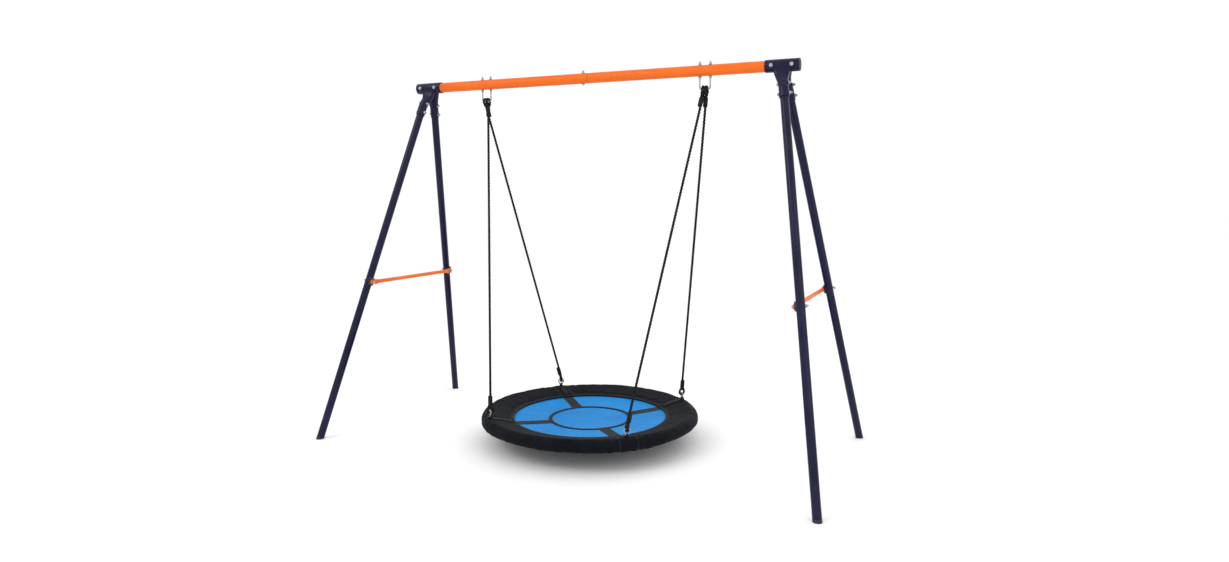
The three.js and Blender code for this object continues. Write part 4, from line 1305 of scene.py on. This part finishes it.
def mat_stitches():
    """Two rows down each strap, a boxed cross at its outer end, and two rows round the centre ring."""
    rows = []
    inset = STRAP_HALF_WIDTH - 0.004
    for angle in ROPE_ANGLES:
        for offset in (-inset, inset):
            rows.append(strap_rows(angle, [offset], STRAP_START + 0.01, FLAP_RADIUS - 0.004, 60)[:, 0])
        for r in (BOX_START, BOX_END):
            along = np.full(20, r)
            across = np.linspace(-inset, inset, 20)
            rows.append(strap_points(angle, along, across))
        for way in (-1, 1):
            along = np.linspace(BOX_START, BOX_END, 30)
            rows.append(strap_points(angle, along, np.linspace(-inset, inset, 30) * way))
    for r in (CENTRE_RING_RADIUS - 0.006, CENTRE_RING_RADIUS + 0.006):
        a = np.linspace(0, TAU, 400)
        x, y = r * np.cos(a), r * np.sin(a)
        rows.append(np.stack([x, y, mat_top(x, y) + 0.0034], -1))
    return [stitch_row(row + (0, 0, 0.0002), Z) for row in rows]


def strap_points(angle, along, across):
    """Points at paired distances along and across a strap, lying on it."""
    x = along * math.cos(angle) - across * math.sin(angle)
    y = along * math.sin(angle) + across * math.cos(angle)
    return np.stack([x, y, mat_top(x, y) + WEB + GAP], -1)


mat = make_mat()
straps = make_piece("mat_straps", mat_straps(), WEBBING, "swing", "mat_webbing", sharp=50)
binding = make_piece("mat_centre_ring", [centre_ring()], WEBBING, "swing", (), sharp=50)
sewing = make_piece("mat_stitches", mat_stitches(), THREAD, "swing", (), sharp=60)

# ------------------------------------------------------------------ padded rim cover

COVER_AROUND = 480
COVER_SECTION = 64
COVER_SLACK = 0.0022
SWELL_LIMIT = 0.004
SWELL_FRAMES = 20
FLAP_START = (FLAP_RADIUS + 0.004, FLAP_HALF)
PATCH_HALF = 0.046


def cover_section():
    """The cover's outline in (radius, height): a round pad on the steel ring, with the cloth drawn straight
    from its crown down to a thin flap. It starts at the flap's inner edge, goes out over the top and comes
    back underneath, evenly spaced."""
    pad = PAD_RADIUS - COVER_SLACK
    reach = math.hypot(RING_RADIUS - FLAP_START[0], FLAP_HALF)
    crown = math.pi - math.atan2(FLAP_HALF, RING_RADIUS - FLAP_START[0]) - math.acos(pad / reach)
    a = np.linspace(crown, math.radians(-148), 60)
    bulge = np.stack([RING_RADIUS + pad * np.cos(a), pad * np.sin(a)], -1)
    slope = FLAP_START + np.linspace(0, 1, 24)[:-1, None] * (bulge[0] - FLAP_START)
    low = [(0.474, -0.0115), (0.452, -0.0055), (0.43, -0.0037), (FLAP_RADIUS + 0.004, -FLAP_HALF),
           (FLAP_RADIUS + 0.0012, -0.0030), (FLAP_RADIUS, 0.0)]
    outline = np.concatenate([[(FLAP_RADIUS, 0.0), (FLAP_RADIUS + 0.0012, 0.0030)], slope, bulge, low])
    step = np.linalg.norm(np.diff(outline, axis=0), axis=1)
    distance = np.concatenate([[0], np.cumsum(step)])
    even = np.linspace(0, distance[-1], COVER_SECTION + 1)[:-1]
    return np.stack([np.interp(even, distance, outline[:, i]) for i in (0, 1)], -1)


def free_cloth(section):
    """How free each point of the section is: 0 on the flap and where it lies on the mat, 1 on the pad."""
    above = smooth(0.396, 0.425, section[:, 0])
    below = smooth(0.452, 0.470, section[:, 0])
    return np.where(section[:, 1] > 0.001, above, below)


def seam_angles():
    """Where the cover's cross seams lie: at both edges of the patch at each rope."""
    half = PATCH_HALF / RING_RADIUS
    return np.concatenate([ROPE_ANGLES - half, ROPE_ANGLES + half])


def angle_gap(angle, marks):
    """The distance in radians from each angle to the nearest mark."""
    turn = (np.asarray(angle)[:, None] - np.asarray(marks)[None, :] + math.pi) % TAU - math.pi
    return np.abs(turn).min(1)


def cover_rings():
    """The section carried round the ring. Between the seams it bellies out, at a seam it is drawn in, soft
    folds run across the band, deeper near the seams, and slow waves keep stretches from being alike."""
    section = cover_section()
    angle = np.arange(COVER_AROUND) * TAU / COVER_AROUND
    way = np.roll(section, -1, 0) - np.roll(section, 1, 0)
    out = np.stack([-way[:, 1], way[:, 0]], -1) / np.linalg.norm(way, axis=1, keepdims=True)
    gap = angle_gap(angle, seam_angles())
    tight = np.exp(-(gap / 0.012) ** 2)
    waves = 0.6 * np.sin(11 * angle + 0.7) + 0.4 * np.sin(29 * angle + 2.1)
    depth = 0.25 + 0.55 * np.exp(-(gap / 0.11) ** 2) + 0.2 * np.cos(angle) ** 2
    lean = 0.9 * np.sin(np.linspace(0, TAU, COVER_SECTION, endpoint=False))
    folds = np.sin(61 * angle[:, None] + 3 * np.sin(5 * angle)[:, None] + lean[None, :])
    folds = folds + 0.7 * np.sin(97 * angle[:, None] + 4 * np.sin(3 * angle)[:, None] - lean[None, :])
    swell = 0.0005 * waves[:, None] - 0.0016 * tight[:, None] + 0.0006 * depth[:, None] * folds
    grown = section[None] + out[None] * (swell * free_cloth(section)[None, :])[..., None]
    r, z = grown[..., 0], grown[..., 1]
    return np.stack([r * np.cos(angle)[:, None], r * np.sin(angle)[:, None], z + SEAT_HEIGHT], -1)


def swell_cloth(piece, rings):
    """Lets the cloth grow a little and swell under pressure, held at its flap and its seams,
    then keeps each point's move within the limit. Returns the new rings."""
    section = cover_section()
    angle = np.arange(COVER_AROUND) * TAU / COVER_AROUND
    flap = 1 - free_cloth(section)
    seam = 0.75 * np.exp(-(angle_gap(angle, seam_angles()) / 0.009) ** 2)
    hold = np.maximum(flap[None, :], seam[:, None]).ravel()
    group = piece.vertex_groups.new(name="held")
    levels = np.round(hold, 1)
    for level in np.unique(levels):
        if level > 0:
            group.add(np.flatnonzero(levels == level).tolist(), float(level), "REPLACE")
    cloth = piece.modifiers.new("cloth", "CLOTH")
    settings = cloth.settings
    settings.quality = 4
    settings.mass = 0.25
    settings.tension_stiffness = 18
    settings.compression_stiffness = 18
    settings.shear_stiffness = 8
    settings.bending_stiffness = 0.12
    settings.use_pressure = True
    settings.uniform_pressure_force = 4
    settings.shrink_min = -0.012
    settings.vertex_group_mass = "held"
    settings.effector_weights.gravity = 0
    cloth.collision_settings.use_collision = False
    cloth.point_cache.frame_start, cloth.point_cache.frame_end = 1, SWELL_FRAMES
    for step in range(1, SWELL_FRAMES + 1):
        bpy.context.scene.frame_set(step)
    shaped = piece.evaluated_get(bpy.context.evaluated_depsgraph_get()).to_mesh()
    moved = np.zeros(len(shaped.vertices) * 3, np.float32)
    shaped.vertices.foreach_get("co", moved)
    piece.modifiers.remove(cloth)
    piece.vertex_groups.remove(group)
    bpy.context.scene.frame_set(1)
    shift = moved.reshape(rings.shape) - rings
    far = np.linalg.norm(shift, axis=2, keepdims=True)
    kept = SWELL_LIMIT * np.tanh(far / SWELL_LIMIT) / np.maximum(far, 1e-9)
    return rings + shift * kept


def make_cover():
    """The rim's cloth: its rings, swelled as cloth, and one subdivision. Returns its rings."""
    rings = cover_rings()
    cover = make_piece("rim_cover_cloth", [skin(rings, closed=True, across=0.33)], CLOTH, "swing",
                       "rim_cover", sharp=180)
    rings = swell_cloth(cover, rings)
    cover.data.vertices.foreach_set("co", rings.astype(np.float32).ravel())
    cover.data.update()
    smoother = cover.modifiers.new("smoother", "SUBSURF")
    smoother.levels = smoother.render_levels = 1
    return rings


cover_points = make_cover()
cover_normals = np.cross(np.roll(cover_points, -1, 0) - np.roll(cover_points, 1, 0),
                         np.roll(cover_points, -1, 1) - np.roll(cover_points, 1, 1))
cover_normals /= np.linalg.norm(cover_normals, axis=2, keepdims=True)
if (cover_normals[:, COVER_SECTION // 2] * cover_points[:, COVER_SECTION // 2]).sum() < 0:
    cover_normals = -cover_normals


def on_cover(rows, columns, lift):
    """Points of the cover's skin at grid places, which may lie between its own, raised by lift."""
    rows, columns = np.broadcast_arrays(np.asarray(rows, float), np.asarray(columns, float))
    i, j = np.floor(rows).astype(int), np.floor(columns).astype(int)
    fi, fj = (rows - i)[..., None], (columns - j)[..., None]
    found = []
    for source in (cover_points, cover_normals):
        a, b = source[i % COVER_AROUND, j % COVER_SECTION], source[(i + 1) % COVER_AROUND, j % COVER_SECTION]
        c = source[i % COVER_AROUND, (j + 1) % COVER_SECTION]
        d = source[(i + 1) % COVER_AROUND, (j + 1) % COVER_SECTION]
        found.append((a * (1 - fi) + b * fi) * (1 - fj) + (c * (1 - fi) + d * fi) * fj)
    return found[0] + found[1] * lift, found[1]


ROW_PER_RADIAN = COVER_AROUND / TAU
PATCH_FIRST = 2.0
PATCH_LAST = 42.0
PATCH_ROWS = 22


def cover_patches():
    """A second layer of cloth wrapped over the rim at each rope, following the cover just above it."""
    parts = []
    half = PATCH_HALF / RING_RADIUS * ROW_PER_RADIAN
    for angle in ROPE_ANGLES:
        rows = angle * ROW_PER_RADIAN + np.linspace(-half, half, PATCH_ROWS)[:, None]
        columns = np.linspace(PATCH_FIRST, PATCH_LAST, 120)[None, :]
        row = np.arange(PATCH_ROWS)
        turned_edge = np.clip(np.minimum(row, row[::-1]) / 3, 0, 1)
        points, _ = on_cover(rows, columns, (0.0003 + 0.0010 * turned_edge)[:, None, None])
        parts.append(patch_skin(points, rows, columns))
    return parts


def patch_skin(points, rows, columns):
    """The patch's upper points and lower ones closed into one thin skin, thinner at its turned edges."""
    lower, _ = on_cover(rows, columns, -0.0006)
    edge_a, _ = on_cover(rows[:1], columns, 0.0003)
    edge_b, _ = on_cover(rows[-1:], columns, 0.0003)
    grid = np.concatenate([edge_a, points, edge_b, lower[::-1]], 0)
    return skin(np.swapaxes(grid, 0, 1), across=0.2)


def cover_stitches():
    """Two rows round the flap's edge and a row inside each patch edge."""
    rows = np.arange(COVER_AROUND + 1)
    made = []
    for column in (1.6, 3.0):
        path, _ = on_cover(rows, np.full(rows.shape, column), 0.0005)
        made.append(stitch_row(path, Z))
    half = (PATCH_HALF - 0.005) / RING_RADIUS * ROW_PER_RADIAN
    for angle in ROPE_ANGLES:
        for way in (-1, 1):
            columns = np.linspace(PATCH_FIRST + 1, PATCH_LAST - 1, 160)
            path, _ = on_cover(np.full(160, angle * ROW_PER_RADIAN + way * half), columns, 0.0018)
            around = np.array([-math.sin(angle), math.cos(angle), 0])
            made.append(stitch_row(path, np.cross(np.gradient(path, axis=0).mean(0), around)))
    return made


TAIL_HALF_WIDTH = 0.011
SLOPE_RADIUS = 0.45
TAIL_FIRST = 4.6
TAIL_LAST = 21.2


def rim_tails():
    """A flat band of webbing at each rope, laid down the cover's slope from the loop to near the flap's edge.
    Its upper points follow the cover at the webbing's thickness. Its lower ones lie just above the cloth."""
    half = TAIL_HALF_WIDTH / SLOPE_RADIUS * ROW_PER_RADIAN
    parts = []
    for angle in ROPE_ANGLES:
        rows = angle * ROW_PER_RADIAN + np.linspace(-half, half, 9)[:, None]
        columns = np.linspace(TAIL_FIRST, TAIL_LAST, 60)[None, :]
        upper, _ = on_cover(rows, columns, 0.0034)
        lower, _ = on_cover(rows, columns, 0.0008)
        parts.append(skin(np.swapaxes(np.concatenate([upper, lower[::-1]], 0), 0, 1), across=0.05))
    return parts


def tail_stitches():
    """A boxed row of thread round the inner end of each band on the slope."""
    half = (TAIL_HALF_WIDTH - 0.0025) / SLOPE_RADIUS * ROW_PER_RADIAN
    made = []
    for angle in ROPE_ANGLES:
        for way in (-1, 1):
            rows = np.full(60, angle * ROW_PER_RADIAN + way * half)
            path, out = on_cover(rows, np.linspace(TAIL_FIRST + 0.5, TAIL_LAST - 1, 60), 0.0036)
            made.append(stitch_row(path, out.mean((0,))))
        for column in (TAIL_FIRST + 0.6, TAIL_FIRST + 4.2):
            rows = angle * ROW_PER_RADIAN + np.linspace(-half, half, 12)
            path, out = on_cover(rows, np.full(12, column), 0.0036)
            made.append(stitch_row(path, out.mean((0,))))
    return made


def flap_binding():
    """A narrow tape folded over the flap's inner edge."""
    angle = np.arange(360) * TAU / 360
    r = FLAP_RADIUS + 0.0035
    path = np.stack([r * np.cos(angle), r * np.sin(angle), np.full(360, SEAT_HEIGHT)], -1)
    return carried(path, oval(0.0045, 0.0052, 3, 24), Z, closed=True, across=0.03)


def slit_welts(link):
    """A corded edge round the slit where the webbing comes out of the cover."""
    angle = np.arange(48) * TAU / 48
    centre = link["anchor"] + link["up"] * (PAD_RADIUS + 0.0012)
    path = centre + np.outer(np.cos(angle) * 0.0088, link["tangent"])
    path = path + np.outer(np.sin(angle) * 0.0118, link["across"])
    return carried(path, circle(0.0015, 12), link["up"], closed=True, across=0.01)


make_piece("cover_patches", cover_patches(), CLOTH, "swing", (), sharp=70)
make_piece("cover_stitches", cover_stitches(), THREAD, "swing", (), sharp=60)
make_piece("rim_tails", rim_tails(), WEBBING, "swing", (), sharp=50)
make_piece("tail_stitches", tail_stitches(), THREAD, "swing", (), sharp=60)
make_piece("flap_binding", [flap_binding()], WEBBING, "swing", (), sharp=60)
make_piece("slit_welts", [slit_welts(attachment(e, s)) for _, _, e, s in CORNERS],
           WEBBING, "swing", (), sharp=70)

# ------------------------------------------------------------------ floor and light


def make_floor():
    """A pale floor, with slow changes of tone."""
    material, tree, shader, place, _ = new_material("studio_floor", Specular_IOR_Level=0.2)
    tone = use(tree, "tone_drift", place, scale=0.8, contrast=1.0)["Tone"]
    base = mixed(tree, tone, colour(250, 250, 250), colour(253, 253, 253))
    rough = ranged(tree, tone, 0.0, 1.0, 0.8, 0.7)
    grain = use(tree, "fine_grain", place, scale=200.0, swell=0.5)["Height"]
    finish_surface(tree, shader, base, rough, grain, 0.03, 0.0005)
    t = np.linspace(-60, 60, 3)
    x, y = np.meshgrid(t, t)
    mesh = bpy.data.meshes.new("floor")
    points = np.stack([x.ravel(), y.ravel(), 0 * x.ravel()], -1)
    mesh.from_pydata(points.tolist(), [], [(0, 1, 4, 3), (1, 2, 5, 4), (3, 4, 7, 6), (4, 5, 8, 7)])
    mesh.materials.append(material)
    floor = bpy.data.objects.new("floor", mesh)
    bpy.context.scene.collection.objects.link(floor)


def soft_light(name, place, target, size, power, tint):
    """A rectangular light at place that faces target."""
    data = bpy.data.lights.new(name, "AREA")
    data.shape = "RECTANGLE"
    data.size, data.size_y = size
    data.energy = power
    data.color = tint
    light = bpy.data.objects.new(name, data)
    light.location = place
    light.rotation_mode = "QUATERNION"
    light.rotation_quaternion = (Vector(target) - Vector(place)).to_track_quat("-Z", "Y")
    bpy.context.scene.collection.objects.link(light)


def make_world():
    """An even white studio all round."""
    world = bpy.data.worlds.new("studio")
    world.use_nodes = True
    back = world.node_tree.nodes["Background"]
    back.inputs["Color"].default_value = (1.0, 1.0, 1.0, 1)
    back.inputs["Strength"].default_value = 1.04
    bpy.context.scene.world = world


make_floor()
make_world()
soft_light("key", (-3.2, -4.6, 5.2), (0, 0, 0.8), (3.5, 2.5), 80, (1.0, 0.98, 0.95))
soft_light("fill", (5.0, -3.0, 3.2), (0, 0, 0.9), (3.0, 3.0), 25, (0.95, 0.97, 1.0))
soft_light("back", (1.5, 5.5, 4.2), (0, 0, 1.0), (4.0, 1.5), 40, (1.0, 1.0, 1.0))
